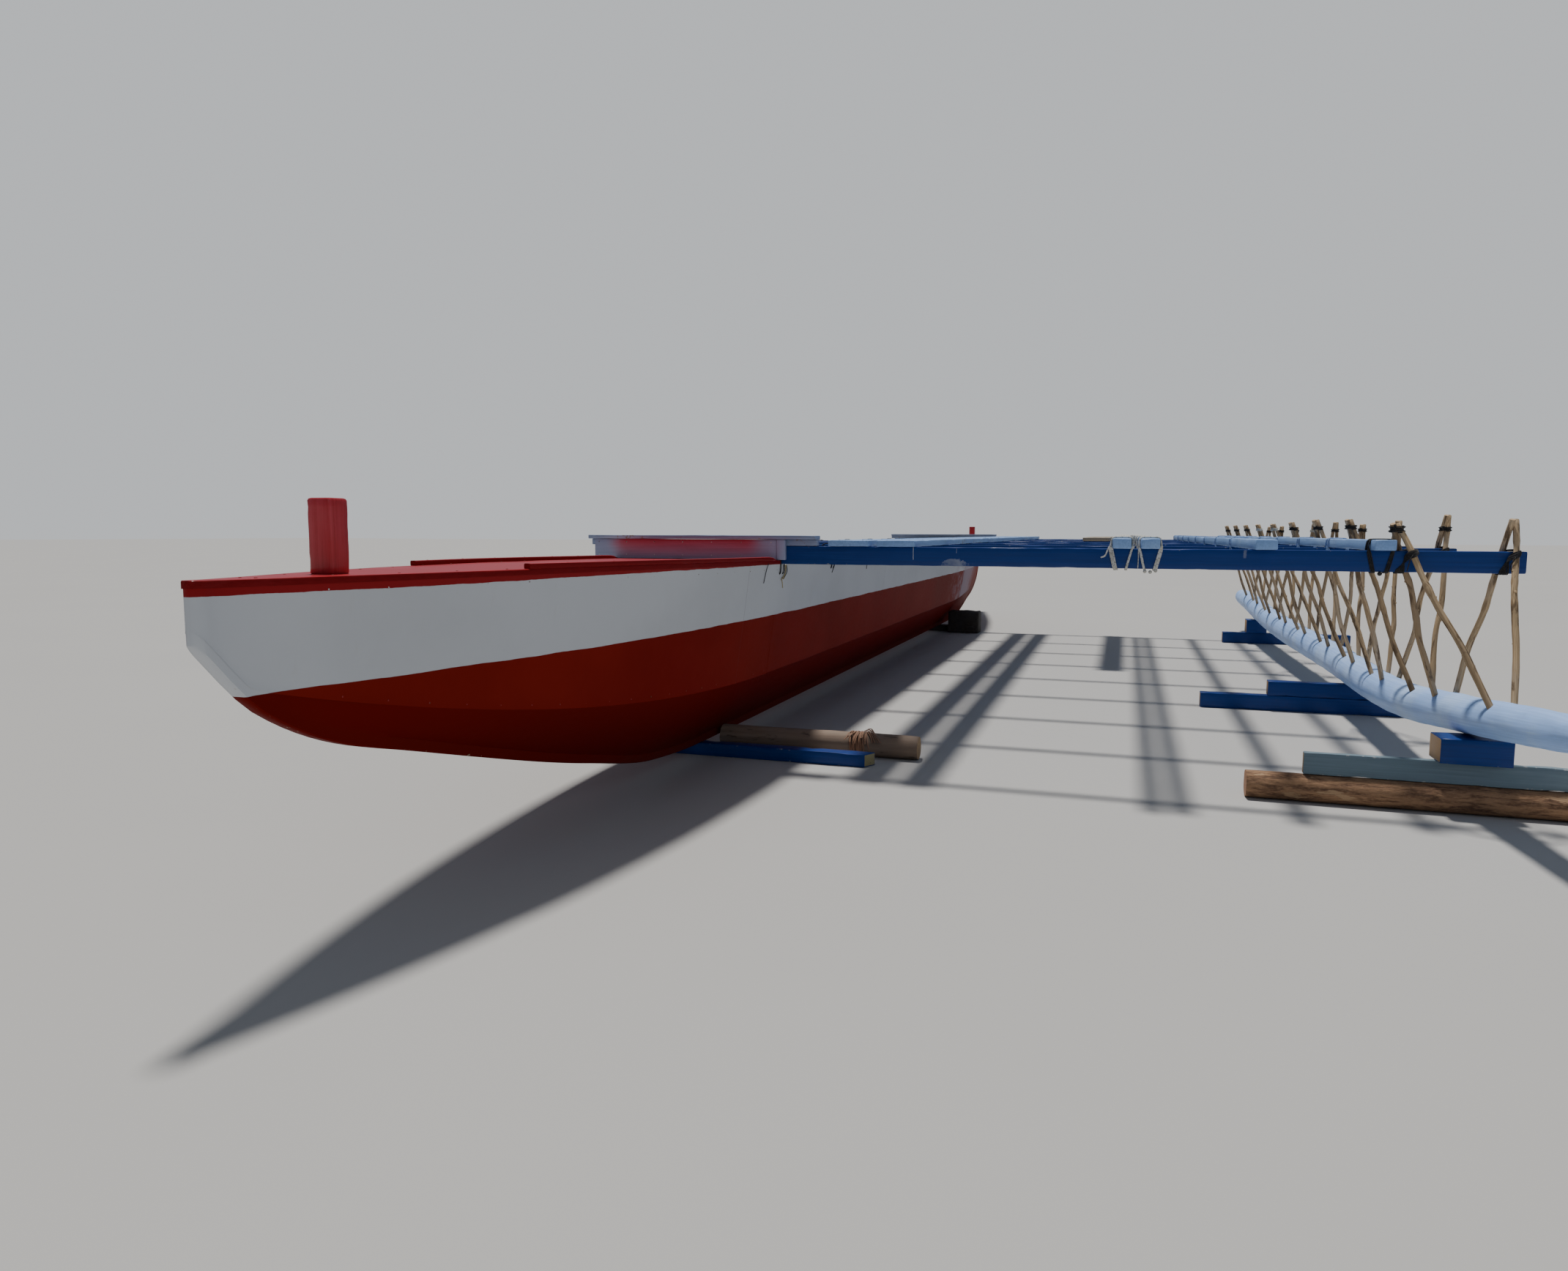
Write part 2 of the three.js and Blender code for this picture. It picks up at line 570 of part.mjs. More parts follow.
function chocks() {
  const spanX = ({ x, length, width }) => [x - (length ?? width) / 2, x + (length ?? width) / 2];
  piece('chock_hull_log', roundLog(HULL_LOG), 'bark');
  piece('chock_hull_plank', box(spanX(HULL_PLANK), [HULL_PLANK.from, HULL_PLANK.to], [0, KEEL_REST]), 'blue');
  piece('chock_keel_block', box(spanX(HULL_BLOCK), [HULL_BLOCK.from, HULL_BLOCK.to], [0, KEEL_REST]), 'dark');
  piece('chock_bilge_block', box(
    spanX(BILGE_BLOCK), [BILGE_BLOCK.from, BILGE_BLOCK.to], [0, BILGE_BLOCK.height],
  ), 'dark');

  const logTop = 2 * NEAR_LOG.radius;
  const plankTop = logTop + GAP + NEAR_PLANK.height;
  const nearTop = floatUnder(NEAR_LOG.x, NEAR_TIMBER.length);
  piece('chock_float_log', roundLog(NEAR_LOG), 'bark');
  piece('chock_float_plank', box(
    [NEAR_LOG.x - NEAR_PLANK.thick / 2, NEAR_LOG.x + NEAR_PLANK.thick / 2],
    [NEAR_PLANK.from, NEAR_PLANK.to], [logTop + GAP, plankTop],
  ), 'grey');
  piece('chock_float_timber', box(
    [NEAR_LOG.x - NEAR_TIMBER.length / 2, NEAR_LOG.x + NEAR_TIMBER.length / 2],
    [NEAR_TIMBER.from, NEAR_TIMBER.to], [plankTop + GAP, nearTop],
  ), 'blue');

  const lower = box(spanX(MID_PLANK), [MID_PLANK.from, MID_PLANK.to], [0, MID_PLANK.lower]);
  const upper = box(
    spanX(MID_PLANK), [MID_PLANK.upperFrom, MID_PLANK.upperTo],
    [MID_PLANK.lower - 1, floatUnder(MID_PLANK.x, MID_PLANK.width)],
  );
  piece('chock_float_mid_planks', fuse([lower, upper]), 'blue');

  piece('chock_float_far_plank', box(
    spanX(FAR_PLANK), [FAR_PLANK.from, FAR_PLANK.to], [0, FAR_PLANK.height],
  ), 'blue');
  piece('chock_float_far_block', box(
    [FAR_PLANK.x - FAR_BLOCK.length / 2, FAR_PLANK.x + FAR_BLOCK.length / 2],
    [FAR_BLOCK.from, FAR_BLOCK.to], [FAR_PLANK.height + GAP, floatUnder(FAR_PLANK.x, FAR_BLOCK.length)],
  ), 'dark');
}

hullSides();
hullBottoms();
keel();
hullEnd('hull_end_bow', BOW);
hullEnd('hull_end_stern', STERN);
deck('deck_bow', BOW);
deck('deck_stern', STERN);
endPanel('end_panel_bow', 1);
endPanel('end_panel_stern', -1);
endCap('end_cap_bow', 1);
endCap('end_cap_stern', -1);
framing();
crossbeams();
lengthwiseTimbers();
piece('float', floatLog(), 'float');
struts();
chocks();

export default canoe;
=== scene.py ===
"""Outrigger canoe standing ashore on its timber chocks: hull, crossbeams, float, lashings and chocks.

Sizes are metres, +Z up, +X to the bow, +Y to the float. Sub-assemblies are worked out in the canoe's
own frame, whose origin is on the ground under the middle crossbeam and the middle of the hull.
"""
import logging
import math
from dataclasses import dataclass, field, replace
from enum import Enum
from functools import cache
from typing import Callable, Protocol, Sequence

import bmesh
import bpy
import numpy as np
from mathutils import Matrix, Vector


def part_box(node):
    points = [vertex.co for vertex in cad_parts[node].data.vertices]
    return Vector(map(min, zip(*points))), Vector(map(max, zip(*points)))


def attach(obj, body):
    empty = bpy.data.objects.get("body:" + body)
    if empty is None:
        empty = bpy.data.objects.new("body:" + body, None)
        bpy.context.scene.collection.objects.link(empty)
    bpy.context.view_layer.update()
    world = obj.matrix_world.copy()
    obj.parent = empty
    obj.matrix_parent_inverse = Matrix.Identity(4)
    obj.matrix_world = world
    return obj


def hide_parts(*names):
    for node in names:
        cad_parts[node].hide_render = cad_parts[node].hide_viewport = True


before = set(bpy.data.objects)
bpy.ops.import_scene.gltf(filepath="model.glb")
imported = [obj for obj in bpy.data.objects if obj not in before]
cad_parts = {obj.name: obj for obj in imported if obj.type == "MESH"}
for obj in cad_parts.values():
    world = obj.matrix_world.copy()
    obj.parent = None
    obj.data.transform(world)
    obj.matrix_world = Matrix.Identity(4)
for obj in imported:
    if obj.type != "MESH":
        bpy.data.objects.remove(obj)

LOG = logging.getLogger("canoe")
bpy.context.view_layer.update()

Array = np.ndarray
Thing = bpy.types.Object
Socket = bpy.types.NodeSocket
Colour = tuple[float, float, float]
Curve = Callable[[Array], Array]
Value = Socket | float | int | tuple
Inputs = dict[int | str, Value]

# The body, the crossbeams' numbers from the bow, and the clearance between neighbouring pieces.
BODY = "root"
BEAMS = range(1, 10)
CLEAR = 0.0003

# Values kept on the meshes for the materials.
GRAIN = "grain"
EDGE = "edge"
BELOW_SHEER = "below_sheer"
RADIUS = "bar_radius"
FACING = "facing"


class Axis(Enum):
    """Axis that a timber runs along."""

    X = 0
    Y = 1
    Z = 2


class Word(Enum):
    """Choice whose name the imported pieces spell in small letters."""

    @property
    def word(self) -> str:
        """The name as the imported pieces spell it."""
        return self.name.lower()


class Side(Word):
    """Side of the hull, by its sign along Y."""

    FLOAT = 1
    LEE = -1


class End(Word):
    """End of the canoe, by its sign along X."""

    BOW = 1
    STERN = -1


def node_middle(node: str) -> Array:
    """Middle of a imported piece's box."""
    low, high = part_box(node)
    return (np.array(low) + np.array(high)) / 2


CENTRE = np.array([node_middle("crossbeam_5")[0], node_middle("keel")[1], 0.0])


def node_box(node: str) -> tuple[Array, Array]:
    """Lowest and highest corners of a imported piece, in the canoe's own frame."""
    low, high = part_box(node)
    return np.array(low) - CENTRE, np.array(high) - CENTRE


def beam_x(number: int) -> float:
    """Place along the canoe of a crossbeam, numbered from 1 at the bow."""
    low, high = node_box(f"crossbeam_{number}")
    return float(low[0] + high[0]) / 2


def cubic(first: Array, last: Array, start: Array, end: Array, t: Array) -> Array:
    """Points of a cubic.

    Args:
        first: Where it starts.
        last: Where it ends.
        start: Its direction there, over the whole length.
        end: Its direction at the end.
        t: Shares of the length.

    Returns:
        The points.
    """
    rise = last - first
    return first + start * t + (3 * rise - 2 * start - end) * t**2 + (start + end - 2 * rise) * t**3


def smooth_curve(xs: Sequence[float], ys: Sequence[float]) -> Curve:
    """Smooth curve through points that never overshoots them.

    Args:
        xs: Places of the points, rising.
        ys: Values at the points.

    Returns:
        Function from places to the curve's values there.
    """
    x, y = np.asarray(xs, float), np.asarray(ys, float)
    step = np.diff(x)
    slope = np.diff(y) / step
    tangent = np.zeros_like(y)
    before, after = slope[:-1], slope[1:]
    same = before * after > 0
    tangent[1:-1][same] = 2 * before[same] * after[same] / (before[same] + after[same])
    tangent[0], tangent[-1] = slope[0], slope[-1]

    def value(at: Array) -> Array:
        """Value of the curve at each place.

        Args:
            at: The places.

        Returns:
            The values.
        """
        at = np.clip(np.asarray(at, float), x[0], x[-1])
        i = np.clip(np.searchsorted(x, at, side="right") - 1, 0, len(step) - 1)
        start, end = tangent[i] * step[i], tangent[i + 1] * step[i]
        return cubic(y[i], y[i + 1], start, end, (at - x[i]) / step[i])

    return value


def smooth_path(points: Sequence[Sequence[float]], pitch: float, closed: bool = False) -> Array:
    """Points close together on a smooth line through a few given ones.

    Args:
        points: The given points.
        pitch: Distance from one new point to the next, about.
        closed: Whether the line comes back to its first point.

    Returns:
        The new points, without the first one again at the end of a closed line.
    """
    given = np.asarray(points, float)
    if closed:
        given = np.concatenate([given[-1:], given, given[:2]])
    else:
        given = np.concatenate([2 * given[:1] - given[1:2], given, 2 * given[-1:] - given[-2:-1]])
    line = []
    for a, b, c, d in zip(given, given[1:], given[2:], given[3:]):
        count = max(int(math.ceil(np.linalg.norm(c - b) / pitch)), 1)
        t = (np.arange(count) / count)[:, None]
        reach = np.linalg.norm(c - b)
        tangents = [way * min(1, reach / max(np.linalg.norm(way), 1e-9))
                    for way in ((c - a) / 2, (d - b) / 2)]
        line.append(cubic(b, c, *tangents, t))
    if not closed:
        line.append(given[-2:-1])
    return np.concatenate(line)


def ripple(points: Array, pitch: float, seed: int) -> Array:
    """Smooth random values, from about -1 to 1, that change over a given distance.

    Args:
        points: Points, in the last axis of the array.
        pitch: Distance over which the value changes.
        seed: Which random pattern.

    Returns:
        One value for each point.
    """
    rng = np.random.default_rng(seed)
    waves = rng.normal(size=(7, 3))
    waves *= 2 * math.pi / pitch * rng.uniform(0.5, 1.4, (7, 1)) / np.linalg.norm(waves, axis=1)[:, None]
    return np.clip(np.sin(points @ waves.T + rng.uniform(0, 2 * math.pi, 7)).sum(axis=-1) / 3, -1, 1)


def rounded_section(width: float, height: float, radius: float,
                    steps: int = 2, pitch: float = 0.03) -> tuple[Array, Array]:
    """Outline of a rectangle with rounded corners.

    Args:
        width: Full size along the first direction.
        height: Full size along the second.
        radius: Radius of the corners.
        steps: Faces of each corner.
        pitch: Widest spacing of points on the flat stretches.

    Returns:
        The outline's points, and 1 for those on a corner or 0.
    """
    arcs = []
    for n, (sx, sy) in enumerate([(1, 1), (-1, 1), (-1, -1), (1, -1)]):
        angle = math.pi / 2 * (n + np.linspace(0, 1, steps + 1))
        arcs.append(np.stack([sx * (width / 2 - radius) + radius * np.cos(angle),
                              sy * (height / 2 - radius) + radius * np.sin(angle)], -1))
    points, worn = [], []
    for n, arc in enumerate(arcs):
        gap = arcs[(n + 1) % 4][0] - arc[-1]
        between = int(np.linalg.norm(gap) / pitch)
        share = np.linspace(0, 1, between + 2)[1:-1, None]
        points += [arc, arc[-1] + share * gap]
        worn += [np.ones(len(arc)), np.zeros(between)]
    return np.concatenate(points), np.concatenate(worn)


def name_seed(name: str, start: int) -> int:
    """Random seed that a name settles."""
    return sum(ord(c) * n for n, c in enumerate(name, start))


def cross_rings(x: Array, y: Array, z: Array) -> Array:
    """Rings across the canoe, one at each place along it."""
    return np.stack(np.broadcast_arrays(x[:, None], y, z), -1)


def shade(colour: Colour, by: float) -> Colour:
    """Colour made darker or lighter by a factor."""
    return tuple(c * by for c in colour)


def new_thing(name: str, data: bpy.types.ID) -> Thing:
    """New object in the scene.

    Args:
        name: Its name.
        data: Its mesh, lamp or camera.

    Returns:
        The object.
    """
    thing = bpy.data.objects.new(name, data)
    bpy.context.scene.collection.objects.link(thing)
    return thing


def evaluated_mesh(thing: Thing) -> bpy.types.Mesh:
    """Plain mesh of an object with its modifiers applied."""
    depsgraph = bpy.context.evaluated_depsgraph_get()
    return bpy.data.meshes.new_from_object(thing.evaluated_get(depsgraph), depsgraph=depsgraph)


class Finish(Protocol):
    """Anything that can make a material."""

    def material(self) -> bpy.types.Material:
        """The material, made once."""


def dress(thing: Thing, slot: str, *finishes: Finish) -> Thing:
    """Gives an object its materials.

    Args:
        thing: The object.
        slot: Slot of the record; not used.
        finishes: Finishes, in the order of the mesh's indices.

    Returns:
        The same object.
    """
    for finish in finishes:
        thing.data.materials.append(finish.material())
    return thing


def seat(thing: Thing, *nodes: str) -> Thing:
    """Makes a finished piece ride on the canoe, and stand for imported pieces.

    Args:
        thing: The piece.
        nodes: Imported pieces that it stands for.

    Returns:
        The same piece.
    """
    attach(thing, BODY)
    if nodes:
        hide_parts(*nodes)
    LOG.info("%s: %d faces", thing.name, len(thing.data.polygons))
    return thing


@dataclass
class Loft:
    """Closed skin through rings of points, with its grain running from the first ring to the last.

    Attributes:
        rings: Points in the canoe's frame, as rings by points by 3.
        edge: How exposed to wear each point of a ring is, from 0 to 1.
        slots: Material index of each strip between two neighbouring points of a ring.
        end_slot: Material index of the two flat ends.
        values: More numbers to keep for each point, by attribute name.
        sharp: Angle in degrees above which an edge stays sharp.
    """

    rings: Array
    edge: Array | float = 0.0
    slots: Array | int = 0
    end_slot: int = 0
    values: dict[str, Array] = field(default_factory=dict)
    sharp: float = 42.0

    def build(self, name: str) -> Thing:
        """Makes the mesh.

        Args:
            name: Name of the new object.

        Returns:
            The object, not yet dressed or seated.
        """
        rings = np.asarray(self.rings, float)
        count, size, _ = rings.shape
        i, j = np.meshgrid(np.arange(count - 1), np.arange(size), indexing="ij")
        k = (j + 1) % size
        corners = [i * size + j, i * size + k, (i + 1) * size + k, (i + 1) * size + j]
        quads = np.stack(corners, -1).reshape(-1, 4)
        last = (count - 1) * size
        faces = quads.tolist() + [list(range(size))[::-1], [last + n for n in range(size)]]
        if self._volume(rings) < 0:
            faces = [face[::-1] for face in faces]
        mesh = bpy.data.meshes.new(name)
        mesh.from_pydata((rings + CENTRE).reshape(-1, 3).tolist(), [], faces)
        slots = np.append(np.broadcast_to(self.slots, (count - 1, size)), [self.end_slot] * 2)
        mesh.polygons.foreach_set("material_index", slots.astype(np.int32))
        for key, values in {EDGE: self.edge, **self.values}.items():
            attribute = mesh.attributes.new(key, "FLOAT", "POINT")
            whole = np.broadcast_to(values, (count, size))
            attribute.data.foreach_set("value", whole.astype(np.float32).ravel())
        grain = mesh.attributes.new(GRAIN, "FLOAT_VECTOR", "POINT")
        grain.data.foreach_set("vector", self._grain(rings, name).astype(np.float32).ravel())
        mesh.shade_smooth()
        mesh.set_sharp_from_angle(angle=math.radians(self.sharp))
        return new_thing(name, mesh)

    @staticmethod
    def _grain(rings: Array, name: str) -> Array:
        """Distance along the skin, and place across it, moved by an amount that the name settles.

        Args:
            rings: The skin's rings.
            name: Name of the object.

        Returns:
            The grain at each point.
        """
        centres = rings.mean(axis=1)
        along = np.concatenate([[0], np.cumsum(np.linalg.norm(np.diff(centres, axis=0), axis=1))])
        run = centres[-1] - centres[0]
        run /= np.linalg.norm(run)
        across = np.cross([0, 0, 1], run) if abs(run[2]) < 0.9 else np.array([1.0, 0, 0])
        across /= np.linalg.norm(across)
        local = rings - centres[:, None]
        shift = np.random.default_rng(name_seed(name, 1)).uniform(-1, 1, 3)
        return np.stack([
            np.broadcast_to(along[:, None], rings.shape[:2]) + shift[0] * 20,
            local @ across + shift[1] * 0.12,
            local @ np.cross(run, across) + shift[2] * 0.12 + 0.1,
        ], -1)

    @staticmethod
    def _volume(rings: Array) -> float:
        """Signed volume within the rings, positive where their faces point outwards.

        Args:
            rings: The rings.

        Returns:
            The volume.
        """
        centred = rings - rings.mean(axis=(0, 1))
        following = np.roll(centred, -1, axis=1)
        a, b, c, d = centred[:-1], following[:-1], following[1:], centred[1:]
        total = np.sum(a * np.cross(b, c)) + np.sum(a * np.cross(c, d))
        for ring, after, sign in ((centred[0], following[0], -1), (centred[-1], following[-1], 1)):
            total += sign * np.sum(ring.mean(axis=0) * np.cross(ring, after))
        return float(total)


@dataclass
class Timber:
    """Sawn timber between two corners, with eased edges and the slight unevenness of hand work.

    Attributes:
        name: Name of the new object.
        low: Lowest corner, in the canoe's frame.
        high: Highest corner.
        axis: Axis that it runs along.
        ease: Radius of its edges.
        uneven: How far its faces lie below true.
        warp: How far its middle strays.
        chip: Depth of the knocks along its edges.
        pitch: Spacing of its rings.
        skew: How far its two ends are cut out of square, as a share of its width.
        waves: Distances over which the broad and fine unevenness and the knocks change.
        swing: How close to an end its skew stays, as a power.
    """

    name: str
    low: Sequence[float]
    high: Sequence[float]
    axis: Axis
    ease: float = 0.003
    uneven: float = 0.0008
    warp: float = 0.001
    chip: float = 0.002
    pitch: float = 0.06
    skew: tuple[float, float] = (0.0, 0.0)
    waves: tuple[float, float, float] = (0.22, 0.05, 0.09)
    swing: int = 8

    @classmethod
    def of_node(cls, node: str, axis: Axis, **sizes: float) -> "Timber":
        """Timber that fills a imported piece's box.

        Args:
            node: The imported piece.
            axis: Axis that the timber runs along.
            sizes: Other fields.

        Returns:
            The timber, not yet built.
        """
        return cls(f"{node}_timber", *node_box(node), axis, **sizes)

    def build(self) -> Thing:
        """Makes the mesh, its faces at index 0 and its cut ends at index 1.

        Returns:
            The object, not yet dressed or seated.
        """
        low, high = np.array(self.low, float), np.array(self.high, float)
        run = self.axis.value
        a, b = [n for n in range(3) if n != run]
        size, middle = high - low, (high + low) / 2
        seed, faces = name_seed(self.name, 3), np.array([size[a], size[b]])
        section, worn = rounded_section(size[a], size[b], self.ease)
        count = max(int(size[run] / self.pitch), 2)
        inner = np.linspace(self.ease, size[run] - self.ease, count)
        lip = self.ease * 0.3
        places = np.concatenate([[0, lip], inner, [size[run] - lip, size[run]]])
        inset = np.zeros(len(places))
        inset[[0, -1]], inset[[1, -2]] = self.ease, lip
        shrink = 1 - 2 * inset[:, None] / faces
        rings = np.zeros((len(places), len(section), 3))
        rings[..., run] = (low[run] + places)[:, None]
        rings[..., a] = middle[a] + section[:, 0] * shrink[:, :1]
        rings[..., b] = middle[b] + section[:, 1] * shrink[:, 1:]
        outward = np.zeros_like(rings)
        unit = np.where(np.abs(section) >= faces / 2 - self.ease * 1.01, np.sign(section), 0)
        unit = unit / np.maximum(np.linalg.norm(unit, axis=1), 1)[:, None]
        outward[..., a], outward[..., b] = unit[:, 0], unit[:, 1]
        broad, fine, knocked = (ripple(rings, wave, seed + n) for n, wave in enumerate(self.waves))
        depth = self.uneven * (0.5 + 0.5 * broad)
        depth += self.uneven * 0.4 * fine
        knocks = np.clip(knocked - 0.5, 0, 1) * 2 * self.chip * worn
        rings -= outward * (depth + knocks)[..., None]
        line = middle + np.zeros((len(places), 3))
        line[:, run] = low[run] + places
        bow = np.sin(np.linspace(0, math.pi, len(places)))
        for n, other in enumerate((a, b)):
            wander = ripple(line * np.eye(3)[run], max(size[run] / 1.6, 0.4), seed + 5 + n)
            rings[..., other] += (self.warp * wander * bow)[:, None]
        share = (places / size[run])[:, None]
        nearness = [(1 - share) ** self.swing, share**self.swing]
        first, last = [(rings[..., a] - middle[a]) * skew * near for skew, near in zip(self.skew, nearness)]
        inward = [abs(skew) * size[a] / 2 * near for skew, near in zip(self.skew, nearness)]
        rings[..., run] += first + last + inward[0] - inward[1]
        return Loft(rings, edge=worn, end_slot=1).build(self.name)

    def place(self, slot: str, faces: Finish, ends: Finish, *nodes: str) -> None:
        """Makes the timber as a finished piece.

        Args:
            slot: Slot of the record.
            faces: Finish of its faces.
            ends: Finish of its cut ends.
            nodes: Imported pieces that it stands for.
        """
        seat(dress(self.build(), slot, faces, ends), *nodes)


class NodeTree:
    """Short calls that add nodes to a tree and link them."""

    def __init__(self, tree: bpy.types.NodeTree) -> None:
        """Keeps the tree."""
        self.tree = tree

    def add(self, kind: str, inputs: Inputs | None = None, **settings: object) -> bpy.types.Node:
        """Adds a node.

        Args:
            kind: Type of the node.
            inputs: Values or sockets for its inputs, by name or number.
            settings: Values for its own settings.

        Returns:
            The node.
        """
        node = self.tree.nodes.new(kind)
        for key, value in settings.items():
            setattr(node, key, value)
        for key, value in (inputs or {}).items():
            self.put(node.inputs[key], value)
        return node

    def put(self, socket: Socket, value: Value) -> None:
        """Links a socket into an input, or sets the input to a value.

        Args:
            socket: The input.
            value: Socket or value for it.
        """
        if isinstance(value, Socket):
            self.tree.links.new(value, socket)
        elif socket.type == "RGBA":
            socket.default_value = (*value[:3], 1.0)
        else:
            socket.default_value = value

    def maths(self, operation: str, a: Value, b: Value = 0.0, c: Value = 0.0) -> Socket:
        """Result of a sum on numbers."""
        return self.add("ShaderNodeMath", {0: a, 1: b, 2: c}, operation=operation).outputs[0]

    def times(self, a: Value, b: Value) -> Socket:
        """Product of two numbers."""
        return self.maths("MULTIPLY", a, b)

    def times_plus(self, a: Value, b: Value, c: Value) -> Socket:
        """Product of two numbers with a third one added."""
        return self.maths("MULTIPLY_ADD", a, b, c)

    def minus(self, a: Value, b: Value) -> Socket:
        """Difference of two numbers."""
        return self.maths("SUBTRACT", a, b)

    def over(self, a: Value, b: Value) -> Socket:
        """Quotient of two numbers."""
        return self.maths("DIVIDE", a, b)

    def size(self, a: Value) -> Socket:
        """Number without its sign."""
        return self.maths("ABSOLUTE", a)

    def vector(self, operation: str, a: Value, b: Value = (0.0, 0.0, 0.0)) -> Socket:
        """Result of a sum on vectors."""
        return self.add("ShaderNodeVectorMath", {0: a, 1: b}, operation=operation).outputs[0]

    def axes(self, vector: Value) -> Sequence[Socket]:
        """The three numbers of a vector."""
        return self.add("ShaderNodeSeparateXYZ", {0: vector}).outputs[:3]

    def joined(self, **numbers: Value) -> Socket:
        """Vector of up to three numbers, given as x, y and z."""
        return self.add("ShaderNodeCombineXYZ", {key.upper(): n for key, n in numbers.items()}).outputs[0]

    def noise(self, at: Value, scale: float, detail: float = 4.0, rough: float = 0.55,
              warp: float = 0.0) -> Socket:
        """Random pattern, from 0 to 1."""
        settings = {"Vector": at, "Scale": scale, "Detail": detail, "Roughness": rough, "Distortion": warp}
        return self.add("ShaderNodeTexNoise", settings).outputs["Fac"]

    def span(self, value: Value, low: Value, high: Value, to_low: Value = 0.0, to_high: Value = 1.0,
             smooth: bool = True) -> Socket:
        """Value moved from one range to another, and held within it."""
        return self.add("ShaderNodeMapRange", {
            "Value": value, "From Min": low, "From Max": high, "To Min": to_low, "To Max": to_high,
        }, interpolation_type="SMOOTHSTEP" if smooth else "LINEAR").outputs[0]

    def blend(self, share: Value, a: Value, b: Value, kind: str = "MIX") -> Socket:
        """Colour between two, or one laid over the other.

        Args:
            share: How much of the second.
            a: First colour.
            b: Second colour.
            kind: How the second is laid on.

        Returns:
            The colour.
        """
        node = self.add("ShaderNodeMix", data_type="RGBA", blend_type=kind)
        for key, value in ((0, share), (6, a), (7, b)):
            self.put(node.inputs[key], value)
        return node.outputs[2]


class FinishTree(NodeTree):
    """Node tree of one material."""

    def __init__(self, name: str, rough: float | None = None) -> None:
        """Starts a material, with one roughness all over where it is given.

        Args:
            name: Name of the material.
            rough: Its roughness.
        """
        self.material = bpy.data.materials.new(name)
        self.material.use_nodes = True
        super().__init__(self.material.node_tree)
        self.shader = self.tree.nodes["Principled BSDF"]
        if rough is not None:
            self.shader.inputs["Roughness"].default_value = rough

    @property
    def place(self) -> Socket:
        """Point of the surface."""
        return self.add("ShaderNodeTexCoord").outputs["Object"]

    def kept(self, name: str, kind: str = "Fac") -> Socket:
        """Value kept on the mesh."""
        return self.add("ShaderNodeAttribute", attribute_name=name).outputs[kind]

    @property
    def grain(self) -> Socket:
        """Point in the wood, its first number along the grain."""
        return self.kept(GRAIN, "Vector")

    def spread(self, x: float, y: float, z: float) -> Socket:
        """Point of the surface, each of its numbers scaled."""
        return self.vector("MULTIPLY", self.place, (x, y, z))

    def stretched(self, along: float, across: float) -> Socket:
        """Point in the wood, drawn out along the grain."""
        return self.vector("MULTIPLY", self.grain, (along, across, across))

    def grain_noise(self, along: float, across: float, detail: float, rough: float = 0.55,
                    warp: float = 0.0) -> Socket:
        """Random pattern in the wood, drawn out along the grain."""
        return self.noise(self.stretched(along, across), 1.0, detail, rough, warp)

    def bump(self, height: Value, strength: float, depth: float) -> Socket:
        """Normal of a surface whose height varies."""
        inputs = {"Height": height, "Strength": strength, "Distance": depth}
        return self.add("ShaderNodeBump", inputs).outputs[0]

    def finish(self, colour: Value, normal: Socket, rough: Value | None = None) -> bpy.types.Material:
        """Links the last nodes to the shader and returns the material.

        Args:
            colour: Colour of the surface.
            normal: Its normal.
            rough: Its roughness, where it varies.

        Returns:
            The material.
        """
        self.put(self.shader.inputs["Base Color"], colour)
        self.put(self.shader.inputs["Normal"], normal)
        if rough is not None:
            self.put(self.shader.inputs["Roughness"], rough)
        return self.material


# Colours that several finishes show where they are worn, cracked or dirty.
BARE_WOOD = (0.36, 0.29, 0.21)
DIRT = (0.10, 0.085, 0.065)
MARK_GREY = (0.52, 0.56, 0.60)
RUN_STAIN = (0.46, 0.43, 0.38)
OPEN_BUTT = (0.06, 0.045, 0.05)
BILGE_GRIT = (0.10, 0.07, 0.05)
JOINT_DIRT = (0.10, 0.08, 0.08)
CRACK_DARK = (0.03, 0.024, 0.018)


@dataclass(frozen=True)
class Mark:
    """Run or smear of another colour on a crossbeam's face.

    Attributes:
        y: Its middle across the canoe, in the canoe's frame.
        low: Its lowest point.
        high: Its highest point.
        half: Half its width.
        hump: How far its top drops towards its sides.
        share: How far it hides the paint, at most.
    """

    y: float
    low: float
    high: float
    half: float
    hump: float = 0.0
    share: float = 0.6


@dataclass(frozen=True)
class Wash:
    """Painted reflection of the red deck, laid along the top of a board across the canoe.

    Attributes:
        y: Its two ends.
        z: Height at which it has faded away, and at which it is whole.
        colour: Its colour.
        share: How far it hides what is under it.
    """

    y: tuple[float, float]
    z: tuple[float, float]
    colour: Colour
    share: float = 0.9


